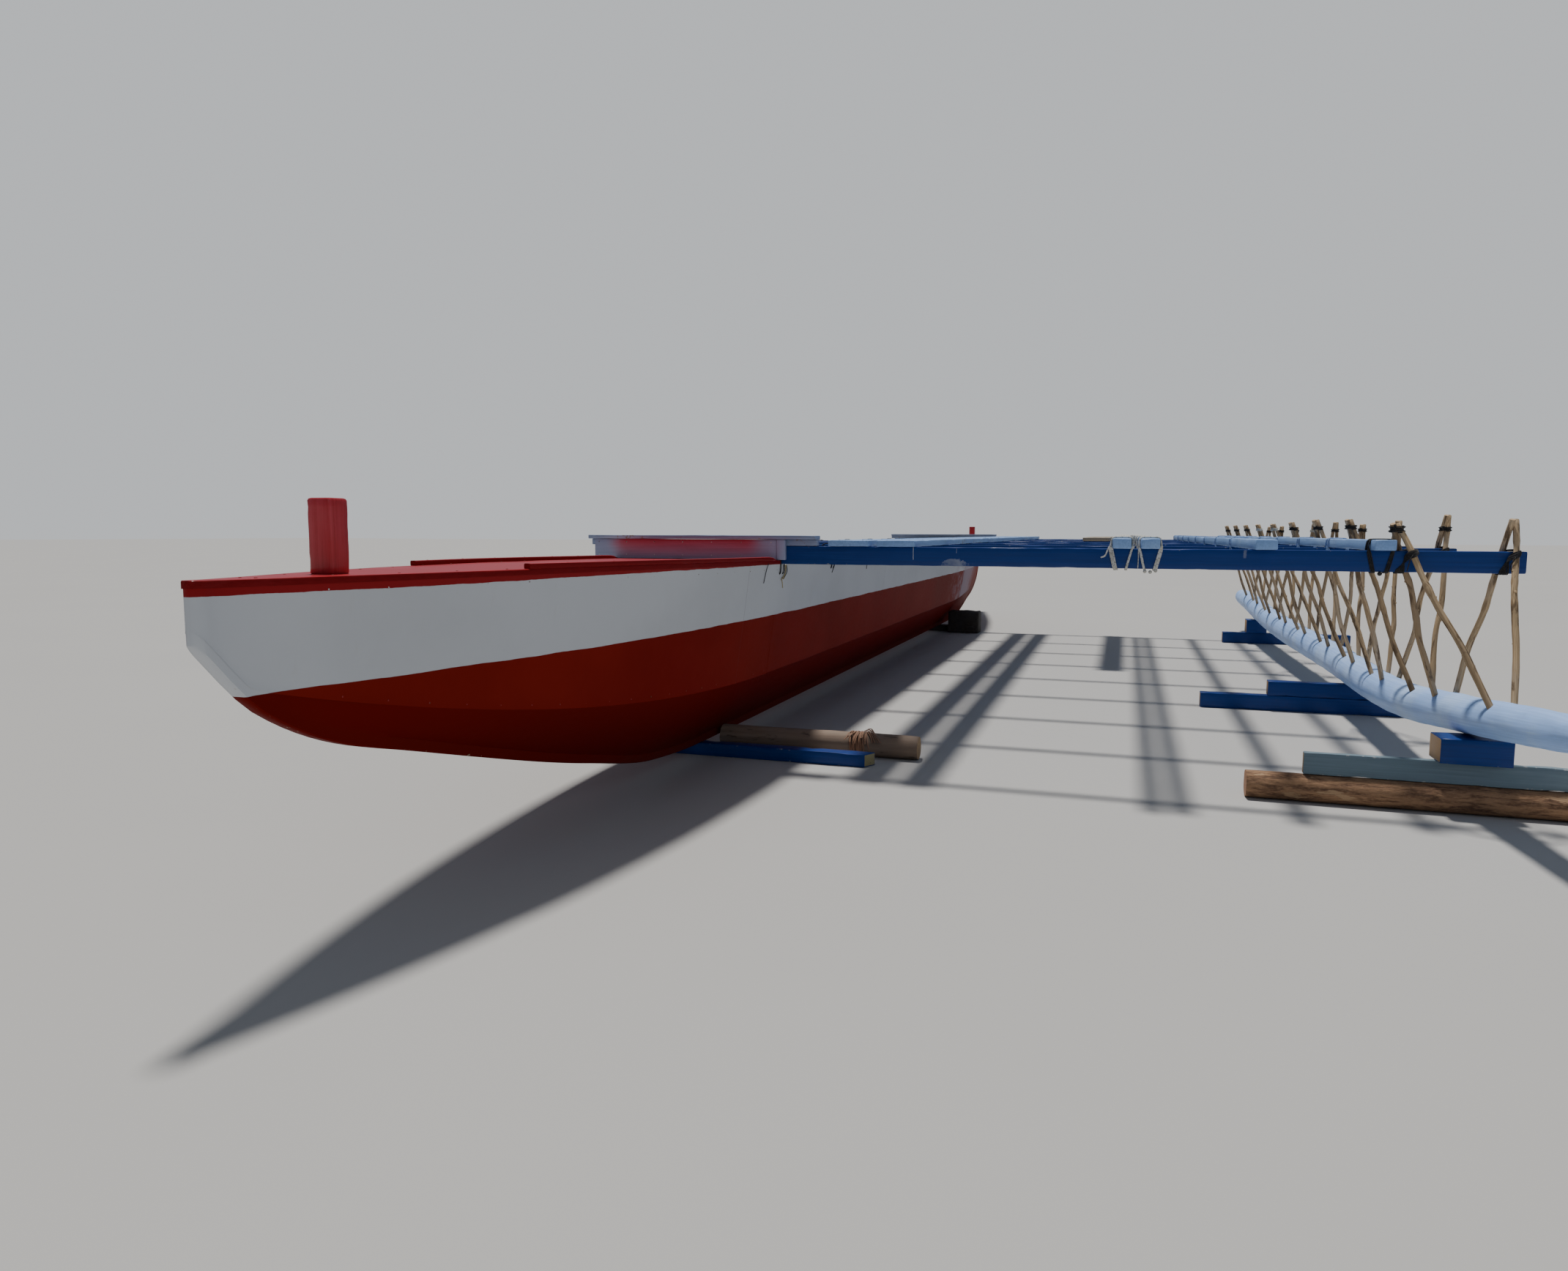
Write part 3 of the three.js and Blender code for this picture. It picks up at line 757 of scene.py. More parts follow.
@dataclass(frozen=True)
class Paint:
    """Brushed paint over wood, rubbed through where hands, ropes and weather reach it.

    Attributes:
        name: Name of the material.
        colour: The paint.
        faded: The same paint where sun and salt have bleached it.
        under: What shows where it has worn through.
        wear: How much of the edges has worn through, from 0 to 1.
        fade: How much of it is bleached, from 0 to 1.
        grime: How dark the dirt is, from 0 to 1.
        rough: Roughness of the sound paint.
        coat: How glossy its skin is.
        shine: How strongly the paint itself mirrors.
        marks: Runs and smears on a face across the canoe.
        reflection: Painted reflection of another colour, laid over part of it.
    """

    name: str
    colour: Colour
    faded: Colour
    under: Colour = BARE_WOOD
    wear: float = 0.12
    fade: float = 0.25
    grime: float = 0.12
    rough: float = 0.42
    coat: float = 0.0
    shine: float = 0.35
    marks: tuple[Mark, ...] = ()
    wash: Wash | None = None

    @cache
    def material(self) -> bpy.types.Material:
        """The material, made once.

        Returns:
            The material.
        """
        t = FinishTree(self.name)
        broad = t.noise(t.place, 1.7, 4, 0.6)
        fine = t.noise(t.place, 34.0, 5, 0.65)
        strokes = t.grain_noise(2.2, 95.0, 4, 0.6)
        sunned = t.times_plus(strokes, 0.35, broad)
        bleached = t.span(sunned, 0.78 - 0.4 * self.fade, 1.05 - 0.35 * self.fade)
        colour = t.blend(t.times(bleached, min(self.fade * 1.5, 1.0)), self.colour, self.faded)
        # Painted reflection of the deck's red, laid over the top of the board.
        if self.wash:
            colour = t.blend(self._washed(t, self.wash), colour, self.wash.colour)
        tone = t.span(strokes, 0.25, 0.75, 0.86, 1.12, smooth=False)
        grey = t.add("ShaderNodeCombineColor", {0: tone, 1: tone, 2: tone}).outputs[0]
        colour = t.blend(1.0, colour, grey, "MULTIPLY")
        dirt = t.span(t.noise(t.spread(1.0, 1.0, 2.6), 5.0, 6, 0.7), 0.52, 0.78)
        colour = t.blend(t.times(dirt, self.grime), colour, DIRT)
        rubbed = t.times_plus(t.kept(EDGE), 0.34, t.times_plus(fine, 0.55, t.times(broad, 0.3)))
        worn = t.span(rubbed, 0.93 - 0.3 * self.wear, 0.98 - 0.3 * self.wear)
        bare = t.blend(t.grain_noise(3.0, 160.0, 3), self.under, shade(self.under, 0.55))
        colour = t.blend(worn, colour, bare)
        for mark in self.marks:
            colour = t.blend(self._share(t, mark), colour, MARK_GREY)
        height = t.times_plus(strokes, 0.6, t.times(fine, 0.4))
        height = t.times_plus(worn, -0.9, height)
        rough = t.times_plus(fine, 0.22, t.times_plus(worn, 0.3, self.rough - 0.08))
        gloss = {"Coat Weight": self.coat, "Coat Roughness": 0.25, "Specular IOR Level": self.shine}
        for key, value in gloss.items():
            t.shader.inputs[key].default_value = value
        return t.finish(colour, t.bump(height, 0.5, 0.0012), rough)

    @staticmethod
    def _washed(t: FinishTree, wash: Wash) -> Socket:
        """How much of a painted reflection covers each point.

        Args:
            t: The material's tree.
            reflection: The painted reflection.

        Returns:
            Share from 0 to 1.
        """
        _, y, z = t.axes(t.place)
        stray = t.minus(t.noise(t.spread(3.0, 3.0, 14.0), 1.0, 4), 0.5)
        aside = t.times_plus(stray, 0.10, y)
        first, last = wash.y[0] + float(CENTRE[1]), wash.y[1] + float(CENTRE[1])
        inside = t.times(t.span(aside, first, first + 0.14), t.span(aside, last, last - 0.12))
        high = t.span(t.times_plus(stray, 0.035, z), wash.z[0], wash.z[1], smooth=False)
        return t.times(t.times(inside, high), wash.share)

    @staticmethod
    def _share(t: FinishTree, mark: Mark) -> Socket:
        """How much of a mark covers each point.

        Args:
            t: The material's tree.
            mark: The mark.

        Returns:
            Share from 0 to 1.
        """
        _, y, z = t.axes(t.place)
        wobble = t.times(t.minus(t.noise(t.place, 60.0, 3), 0.5), mark.half * 1.6)
        aside = t.size(t.maths("ADD", t.minus(y, mark.y + float(CENTRE[1])), wobble))
        top = t.times_plus(t.maths("POWER", t.over(aside, mark.half), 2.0), -mark.hump, mark.high)
        inside = t.span(aside, mark.half, mark.half * 0.45)
        inside = t.times(inside, t.span(t.minus(top, z), 0.0, 0.003))
        inside = t.times(inside, t.span(z, mark.low, mark.low + 0.004))
        patchy = t.span(t.noise(t.place, 16.0, 5), 0.3, 0.65, mark.share * 0.4, mark.share)
        return t.times(inside, patchy)


@dataclass(frozen=True)
class HullPaint:
    """White topsides over a red bottom, with the deck's red lapping over the sheer at the ends.

    Attributes:
        name: Name of the material.
        white: Paint of the topsides.
        red: Paint of the side's lower part.
        bottom: The same paint below the chine, darker as painted shade on the faces that look down.
        lap: Paint of the decks where it laps over the sheer, darker than on the deck as painted shade on
            that upright face.
        line: Height of the colours' meeting.
        line_rise: How much that line rises aft of the middle for each metre along, squared.
        lap_depth: How far down the deck's paint comes towards the tips.
        lap_wobble: How far its edge strays.
        lap_span: Distances from the middle at which it starts and is whole.
        seams: Butt joints of the side planking, along the canoe.
        patch: Places along the canoe of the patch painted over in mauve: where its haze starts, the
            seam that it starts hard at, where it starts to fade and where it ends.
        patched: Colour of that patch.
    """

    name: str
    white: Colour = (0.58, 0.61, 0.65)
    red: Colour = (0.22, 0.012, 0.008)
    bottom: Colour = (0.14, 0.005, 0.003)
    lap: Colour = (0.27, 0.010, 0.013)
    line: float = 0.892
    line_rise: float = 0.0005
    lap_depth: float = 0.024
    lap_wobble: float = 0.014
    lap_span: tuple[float, float] = (4.43, 7.2)
    seams: tuple[float, ...] = (4.9, -3.3, 1.55)
    patch: tuple[float, float, float, float] = (-1.9, -3.3, -3.8, -5.6)
    patched: Colour = (0.36, 0.29, 0.36)

    @cache
    def material(self) -> bpy.types.Material:
        """The material, made once.

        Returns:
            The material.
        """
        t = FinishTree(self.name)
        x, _, z = t.axes(t.place)
        along = t.minus(x, float(CENTRE[0]))
        broad = t.noise(t.place, 0.9, 5, 0.6)
        fine = t.noise(t.place, 38.0, 5, 0.65)
        below = self._below_line(t, along, z)
        under = t.span(t.kept(BELOW_SHEER), 0.97, 0.99)
        strokes = t.noise(t.spread(2.0, 2.0, 70.0), 1.0, 4, 0.6)
        white = t.blend(t.span(broad, 0.42, 0.68), self.white, shade(self.white, 0.93))
        runs = t.noise(t.spread(26.0, 26.0, 1.3), 1.0, 5, 0.65)
        white = t.blend(t.times(t.span(runs, 0.6, 0.8), 0.16), white, RUN_STAIN)
        # Below the chine the red turns darker: painted shade on the downward faces.
        red = t.blend(under, self.red, self.bottom)
        red = t.blend(t.times(t.span(broad, 0.35, 0.7), 0.5), red, self.bottom)
        colour = t.blend(below, white, red)
        colour = self._patched(t, along, under, colour)
        colour = self._lapped(t, along, colour)
        grit = t.span(t.times_plus(t.noise(t.place, 9.0, 6, 0.7), 0.3, z), 0.5, 0.2)
        colour = t.blend(t.times(grit, 0.2), colour, BILGE_GRIT)
        joint = self._joints(t, along, fine)
        colour = t.blend(t.times(joint, t.times_plus(below, -0.3, 0.45)), colour, JOINT_DIRT)
        worn = t.span(t.times_plus(t.kept(EDGE), 0.35, t.times(fine, 0.7)), 0.80, 0.86)
        colour = t.blend(worn, colour, BARE_WOOD)
        height = t.times_plus(strokes, 0.5, t.times(fine, 0.35))
        height = t.times_plus(joint, -1.2, height)
        height = t.times_plus(below, 0.25, height)
        rough = t.times_plus(fine, 0.2, t.times_plus(grit, 0.2, 0.38))
        t.put(t.shader.inputs["Specular IOR Level"], t.span(below, 0.0, 1.0, 0.08, 0.012))
        return t.finish(colour, t.bump(height, 0.35, 0.0014), rough)

    def _below_line(self, t: FinishTree, along: Socket, z: Socket) -> Socket:
        """Whether each point lies below the line where the colours meet, drawn by hand.

        Args:
            t: The material's tree.
            along: Place along the canoe.
            z: Height.

        Returns:
            Share from 0 to 1.
        """
        hand = t.noise(t.spread(1.0, 0.0, 0.0), 2.6, 5, 0.55)
        aft = t.maths("MINIMUM", along, 0.0)
        level = t.times_plus(t.times(aft, aft), self.line_rise, self.line)
        level = t.times_plus(t.minus(hand, 0.5), 0.02, level)
        return t.span(t.minus(level, z), -0.0012, 0.0012)

    def _patched(self, t: FinishTree, along: Socket, under: Socket, colour: Socket) -> Socket:
        """Colour with the mauve patch: a haze ahead of a seam, nearly solid behind it.

        Args:
            t: The material's tree.
            along: Place along the canoe.
            under: Whether the point lies below the chine.
            colour: Colour without the patch.

        Returns:
            The colour.
        """
        haze, seam, fade, end = self.patch
        cloud = t.noise(t.spread(1.0, 1.0, 2.2), 3.4, 6, 0.66)
        ahead = t.times(t.span(along, haze, seam, 0.0, 0.55), t.span(cloud, 0.40, 0.62))
        behind = t.times_plus(t.minus(cloud, 0.5), 1.6, along)
        behind = t.span(behind, fade, end, 0.85, 0.0)
        aft_of_seam = t.span(along, seam + 0.002, seam - 0.002)
        mauve = t.times_plus(aft_of_seam, t.minus(behind, ahead), ahead)
        mauve = t.times(mauve, t.span(under, 0.0, 1.0, 1.0, 0.0))
        colour = t.blend(mauve, colour, self.patched)
        butt = t.span(t.size(t.minus(along, seam)), 0.016, 0.006, 0.0, 0.75)
        return t.blend(t.times(butt, t.span(cloud, 0.34, 0.44)), colour, OPEN_BUTT)

    def _lapped(self, t: FinishTree, along: Socket, colour: Socket) -> Socket:
        """Colour with the deck's paint that laps over the sheer, in its darker red that is painted shade.

        Args:
            t: The material's tree.
            along: Place along the canoe.
            colour: Colour without it.

        Returns:
            The colour.
        """
        ragged = t.noise(t.spread(1.0, 0.0, 0.0), 5.0, 7, 0.68)
        reach = t.span(t.size(along), *self.lap_span, 0.0, self.lap_depth, smooth=False)
        depth = t.times_plus(t.minus(ragged, 0.5), self.lap_wobble, reach)
        decked = t.span(t.size(along), self.lap_span[0], self.lap_span[0] + 0.04)
        lapped = t.span(t.minus(depth, t.kept(BELOW_SHEER)), 0.0, 0.0015)
        # The lap's red is darker than the deck's: painted shade on the upright side.
        return t.blend(t.times(lapped, decked), colour, self.lap)

    def _joints(self, t: FinishTree, along: Socket, fine: Socket) -> Socket:
        """How much of each point lies in a joint of the planking.

        Args:
            t: The material's tree.
            along: Place along the canoe.
            fine: Fine random pattern.

        Returns:
            Share from 0 to 1.
        """
        nearest: Value = 1.0
        for seam in self.seams:
            nearest = t.maths("MINIMUM", nearest, t.size(t.minus(along, seam)))
        return t.span(t.times_plus(fine, 0.003, nearest), 0.0042, 0.0022)


@dataclass(frozen=True)
class Wood:
    """Bare wood with its growth rings, as a solid that any cut shows.

    Attributes:
        name: Name of the material.
        light: Colour of the early wood.
        dark: Colour of the late wood.
        rings: How far apart the growth rings are.
        weather: How grey its surface has gone, from 0 to 1.
        rough: Its roughness.
        relief: Depth of its surface.
        splits: How many drying cracks it shows, from 0 to 1.
        bark: How much of it bark and knots still darken, from 0 to 1.
    """

    name: str
    light: Colour
    dark: Colour
    rings: float = 0.006
    weather: float = 0.3
    rough: float = 0.75
    relief: float = 0.0012
    splits: float = 0.4
    bark: float = 0.0

    @cache
    def material(self) -> bpy.types.Material:
        """The material, made once.

        Returns:
            The material.
        """
        t = FinishTree(self.name, self.rough)
        rings = t.add("ShaderNodeTexWave", {
            "Vector": t.stretched(0.12, 1.0), "Scale": 2 * math.pi / 20 / self.rings,
            "Distortion": 3.5, "Detail": 3.0, "Detail Scale": 0.6, "Detail Roughness": 0.6,
        }, wave_type="RINGS", rings_direction="X").outputs["Fac"]
        fibres = t.grain_noise(9.0, 420.0, 4, 0.6)
        broad = t.noise(t.place, 3.2, 5, 0.6)
        colour = t.blend(t.times(rings, 0.75), self.light, self.dark)
        colour = t.blend(t.span(fibres, 0.45, 0.75, 0.0, 0.55), colour, shade(self.dark, 0.6))
        grey = sum(self.light) / 3
        weathered = (grey * 0.92, grey * 0.9, grey * 0.88)
        colour = t.blend(t.times(t.span(broad, 0.4, 0.66), self.weather), colour, weathered)
        if self.bark:
            piece = t.noise(t.vector("MULTIPLY", t.grain, (0.31, 0.0, 0.0)), 1.0, 1)
            dull = tuple(a * 0.45 + b * 0.25 for a, b in zip(self.dark, self.light))
            colour = t.blend(t.span(piece, 0.40, 0.60, 0.0, 0.8), colour, dull)
            left = t.grain_noise(5.0, 24.0, 5, 0.65, 0.4)
            left = t.span(left, 0.66 - 0.2 * self.bark, 0.74 - 0.2 * self.bark, 0.0, 0.85)
            colour = t.blend(left, colour, shade(self.dark, 0.42))
        cracks = t.grain_noise(4.0, 70.0, 2, 0.5)
        crack = t.span(cracks, 0.27 + 0.08 * self.splits, 0.25 + 0.08 * self.splits)
        colour = t.blend(t.times(crack, 0.8), colour, CRACK_DARK)
        height = t.times_plus(fibres, 0.6, t.times(rings, 0.35))
        height = t.times_plus(crack, -1.3, height)
        return t.finish(colour, t.bump(height, 0.7, self.relief))


@dataclass(frozen=True)
class Bark:
    """Bark of a log, furrowed along it and rubbed off in places.

    Attributes:
        name: Name of the material.
        ridge: Colour of its ridges.
        furrow: Colour in its furrows.
        bare: Colour of the wood where it has come off.
        rubbed: How much has come off, from 0 to 1.
    """

    name: str
    ridge: Colour
    furrow: Colour
    bare: Colour = (0.40, 0.25, 0.14)
    rubbed: float = 0.3

    @cache
    def material(self) -> bpy.types.Material:
        """The material, made once.

        Returns:
            The material.
        """
        t = FinishTree(self.name, 0.88)
        plates = t.grain_noise(7.0, 42.0, 6, 0.62, 0.6)
        fine = t.grain_noise(40.0, 150.0, 5, 0.7)
        colour = t.blend(t.span(plates, 0.36, 0.62), self.furrow, self.ridge)
        colour = t.blend(t.span(fine, 0.4, 0.7, 0.0, 0.4), colour, shade(self.ridge, 1.6))
        off = t.grain_noise(2.4, 9.0, 5, 0.6)
        off = t.span(off, 0.72 - 0.25 * self.rubbed, 0.75 - 0.25 * self.rubbed)
        wood = t.blend(t.grain_noise(4.0, 220.0, 3), self.bare, shade(self.bare, 0.5))
        colour = t.blend(off, colour, wood)
        height = t.times_plus(plates, 1.0, t.times(fine, 0.3))
        height = t.times_plus(off, -0.5, height)
        return t.finish(colour, t.bump(height, 1.0, 0.006))


@dataclass(frozen=True)
class Cordage:
    """Laid or plaited cord, its strands turning round it, with painted shade in the grooves between them.

    Attributes:
        name: Name of the material.
        colour: The fibre.
        soiled: The same fibre where it is dirty or bleached.
        lay: Length of one turn of a strand, in cord radii.
        strands: How many strands it has.
        rough: Its roughness.
    """

    name: str
    colour: Colour
    soiled: Colour
    lay: float = 7.0
    strands: int = 3
    rough: float = 0.8

    @cache
    def material(self) -> bpy.types.Material:
        """The material, made once.

        Returns:
            The material.
        """
        t = FinishTree(self.name, self.rough)
        x, y, z = t.axes(t.grain)
        radius = t.kept(RADIUS)
        turn = t.times(t.over(x, t.times(radius, self.lay)), 2 * math.pi)
        angle = t.maths("ADD", t.times(t.maths("ARCTAN2", z, y), float(self.strands)), turn)
        strand = t.size(t.maths("SINE", t.times(angle, 0.5)))
        fibre = t.grain_noise(300.0, 2600.0, 3)
        colour = t.blend(t.span(t.noise(t.place, 24.0, 4), 0.4, 0.68), self.colour, self.soiled)
        # Darker between the strands: painted shade in the grooves.
        colour = t.blend(t.span(strand, 0.45, 0.0, 0.0, 0.7), colour, shade(self.colour, 0.3))
        height = t.times_plus(strand, 1.0, t.times(fibre, 0.25))
        return t.finish(colour, t.bump(height, 0.9, 0.0016))


@dataclass(frozen=True)
class Iron:
    """Nail and bolt heads, rusted under what is left of their paint.

    Attributes:
        name: Name of the material.
        paint: Paint left on them.
        painted: How much of them it covers, from 0 to 1.
    """

    name: str
    paint: Colour
    painted: float = 0.4

    @cache
    def material(self) -> bpy.types.Material:
        """The material, made once.

        Returns:
            The material.
        """
        t = FinishTree(self.name, 0.7)
        flakes = t.noise(t.place, 160.0, 5, 0.7)
        rust = t.blend(flakes, (0.045, 0.018, 0.010), (0.19, 0.070, 0.028))
        cover = t.span(t.noise(t.place, 55.0, 4), 0.62 - 0.35 * self.painted, 0.68 - 0.35 * self.painted)
        return t.finish(t.blend(cover, rust, self.paint), t.bump(flakes, 0.8, 0.0008))


@dataclass(frozen=True)
class Floor:
    """Plain pale studio floor."""

    name: str = "pale_floor"

    @cache
    def material(self) -> bpy.types.Material:
        """The material, made once.

        Returns:
            The material.
        """
        t = FinishTree(self.name, 0.85)
        tone = t.blend(t.noise(t.place, 0.35, 3), (0.44, 0.435, 0.425), (0.47, 0.465, 0.455))
        return t.finish(tone, t.bump(t.noise(t.place, 60.0, 3), 0.15, 0.002))


HULL_PAINT = HullPaint("hull_paint")
INSIDE_PAINT = Paint("inside_paint", (0.46, 0.44, 0.38), (0.55, 0.53, 0.47), wear=0.3, grime=0.5, rough=0.6)
DECK_PAINT = Paint("deck_paint", (0.42, 0.014, 0.022), (0.52, 0.08, 0.11), wear=0.1, fade=0.35,
                   grime=0.1, rough=0.3, coat=0.3)
# Darker red for the upright faces of the deck sheet and rails: painted shade.
SHADED_DECK_PAINT = Paint("deck_edge_paint", (0.20, 0.008, 0.010), (0.26, 0.022, 0.030), wear=0.05,
                        grime=0.1, rough=0.5, shine=0.05)
PANEL_PAINT = Paint("panel_paint", (0.33, 0.36, 0.52), (0.42, 0.45, 0.58), wear=0.2, grime=0.2)
# Painted reflection: the red deck's light on the upper middle of the end panel.
PANEL_REFLECTION = Wash((-0.60, 0.45), (1.215, 1.335), (0.50, 0.03, 0.06))
REFLECTING_PANEL_PAINT = replace(PANEL_PAINT, name="washed_panel_paint", wash=PANEL_REFLECTION)
CAP_PAINT = Paint("cap_paint", (0.25, 0.31, 0.47), (0.40, 0.47, 0.62), wear=0.35, fade=0.4)
BEAM_MARKS = (
    Mark(1.344, 1.230, 1.309, 0.0035), Mark(1.591, 1.270, 1.299, 0.003),
    Mark(1.580, 1.190, 1.241, 0.086, 0.04, 0.42), Mark(3.086, 1.2575, 1.303, 0.009, share=0.35),
)
# The pale grey showing at the worn edges is part wear, part painted highlight along the edges.
BEAM_PAINT = Paint("beam_paint", (0.010, 0.043, 0.21), (0.026, 0.086, 0.30), under=(0.34, 0.38, 0.42),
                   wear=0.3, fade=0.2, grime=0.1, rough=0.32, coat=0.06, shine=0.2)
FIRST_BEAM_PAINT = replace(BEAM_PAINT, name="first_beam_paint", marks=BEAM_MARKS)
PLANK_PAINT = Paint("plank_paint", (0.25, 0.42, 0.76), (0.36, 0.53, 0.82), wear=0.3, fade=0.4, rough=0.4)
FLOAT_PAINT = Paint("float_paint", (0.36, 0.56, 0.97), (0.52, 0.70, 0.98), fade=0.45, rough=0.42)
# The pale under-colour and heavy edge wear are part wear, part painted highlight along the edges.
GREY_PAINT = Paint("grey_blue_paint", (0.15, 0.22, 0.27), (0.24, 0.31, 0.36), under=(0.52, 0.56, 0.58),
                   wear=0.5, fade=0.4, rough=0.6)
RAW_WOOD = Wood("raw_timber", (0.50, 0.33, 0.17), (0.28, 0.16, 0.075))
BOARD_WOOD = Wood("board_wood", (0.42, 0.36, 0.28), (0.26, 0.21, 0.15), rings=0.009, weather=0.7)
OLIVE_WOOD = Wood("olive_end_wood", (0.42, 0.36, 0.14), (0.24, 0.19, 0.06))
ORANGE_WOOD = Wood("orange_end_wood", (0.58, 0.25, 0.09), (0.32, 0.12, 0.045), rings=0.008)
STICK_WOOD = Wood("stick_wood", (0.64, 0.47, 0.27), (0.30, 0.185, 0.09), rings=0.004, weather=0.2,
                  relief=0.0018, bark=0.7)
STICK_CUT = Wood("stick_cut", (0.62, 0.45, 0.28), (0.42, 0.27, 0.15), rings=0.003, weather=0.0)
# Near-black: dark timber, darkened further as painted shade for the blocks under the hull.
DARK_AND_SHADED_WOOD = Wood("dark_timber", (0.055, 0.045, 0.037), (0.024, 0.019, 0.015), weather=0.4, relief=0.004)
PEELED_WOOD = Wood("peeled_log", (0.40, 0.30, 0.22), (0.25, 0.17, 0.12), rings=0.007, weather=0.3,
                   relief=0.0016, bark=0.35)
BARK_STRIP = Wood("bark_strip", (0.36, 0.19, 0.11), (0.17, 0.08, 0.045), rings=0.003, weather=0.2,
                  relief=0.002)
RED_BARK = Bark("red_brown_bark", (0.34, 0.195, 0.105), (0.12, 0.062, 0.035), bare=(0.58, 0.37, 0.21),
                rubbed=0.5)
BLACK_CORD = Cordage("black_cord", (0.012, 0.012, 0.014), (0.035, 0.032, 0.03))
WHITE_CORD = Cordage("white_cord", (0.72, 0.72, 0.68), (0.52, 0.50, 0.42))
PAINTED_CORD = Cordage("painted_cord", (0.31, 0.46, 0.76), (0.20, 0.31, 0.54))
NATURAL_CORD = Cordage("natural_cord", (0.50, 0.42, 0.22), (0.34, 0.28, 0.15))
PLANK_NAILS = Iron("plank_nails", (0.30, 0.44, 0.70))
HULL_NAILS = Iron("hull_nails", (0.56, 0.57, 0.58), painted=0.6)
DECK_NAILS = Iron("deck_nails", (0.30, 0.02, 0.02), painted=0.6)

# Radius and height of each kind of small head.
DECK_NAIL = (0.0048, 0.0014)
SKIN_NAIL = (0.0038, 0.001)
PANEL_NAIL = (0.0042, 0.0012)
PLANK_NAIL = (0.0055, 0.0016)
STICK_KNOT = (0.0065, 0.0052)


class Maker(NodeTree):
    """Geometry Nodes tree with named inputs, run on a mesh and turned into a plain one."""

    def __init__(self, name: str, inputs: dict[str, tuple[str, object]]) -> None:
        """Starts the tree.

        Args:
            name: Name of the tree.
            inputs: Type and first value of each input, by name.
        """
        super().__init__(bpy.data.node_groups.new(name, "GeometryNodeTree"))
        face = self.tree.interface
        face.new_socket("Geometry", in_out="INPUT", socket_type="NodeSocketGeometry")
        face.new_socket("Geometry", in_out="OUTPUT", socket_type="NodeSocketGeometry")
        self.keys: dict[str, str] = {}
        for key, (kind, value) in inputs.items():
            socket = face.new_socket(key, in_out="INPUT", socket_type=f"NodeSocket{kind}")
            if value is not None:
                socket.default_value = value
            self.keys[key] = socket.identifier
        self.given = self.add("NodeGroupInput").outputs
        self.out = self.add("NodeGroupOutput")

    def through(self, kind: str, inputs: Inputs | None = None, **settings: object) -> Socket:
        """First output of a new node."""
        return self.add(kind, inputs, **settings).outputs[0]

    def named(self, name: str, kind: str = "FLOAT") -> Socket:
        """Value kept on the geometry under a name."""
        return self.through("GeometryNodeInputNamedAttribute", {"Name": name}, data_type=kind)

    def keep(self, geometry: Value, name: str, value: Value, kind: str = "FLOAT") -> Socket:
        """Geometry with a value kept on its points."""
        return self.through("GeometryNodeStoreNamedAttribute", {
            "Geometry": geometry, "Name": name, "Value": value,
        }, data_type=kind, domain="POINT")

    def run(self, mesh: bpy.types.Mesh, name: str, **inputs: object) -> Thing:
        """Runs the tree.

        Args:
            mesh: Points or lines that it starts from.
            name: Name of the new object.
            inputs: Values of the tree's inputs, spaces in their names as underscores.

        Returns:
            Plain mesh object with what the tree made.
        """
        source = new_thing(f"{name}_source", mesh)
        modifier = source.modifiers.new("maker", "NODES")
        modifier.node_group = self.tree
        for key, value in inputs.items():
            modifier[self.keys[key.replace("_", " ")]] = value
        made = evaluated_mesh(source)
        source.modifiers.remove(modifier)
        bpy.data.objects.remove(source)
        made.name = name
        return new_thing(name, made)


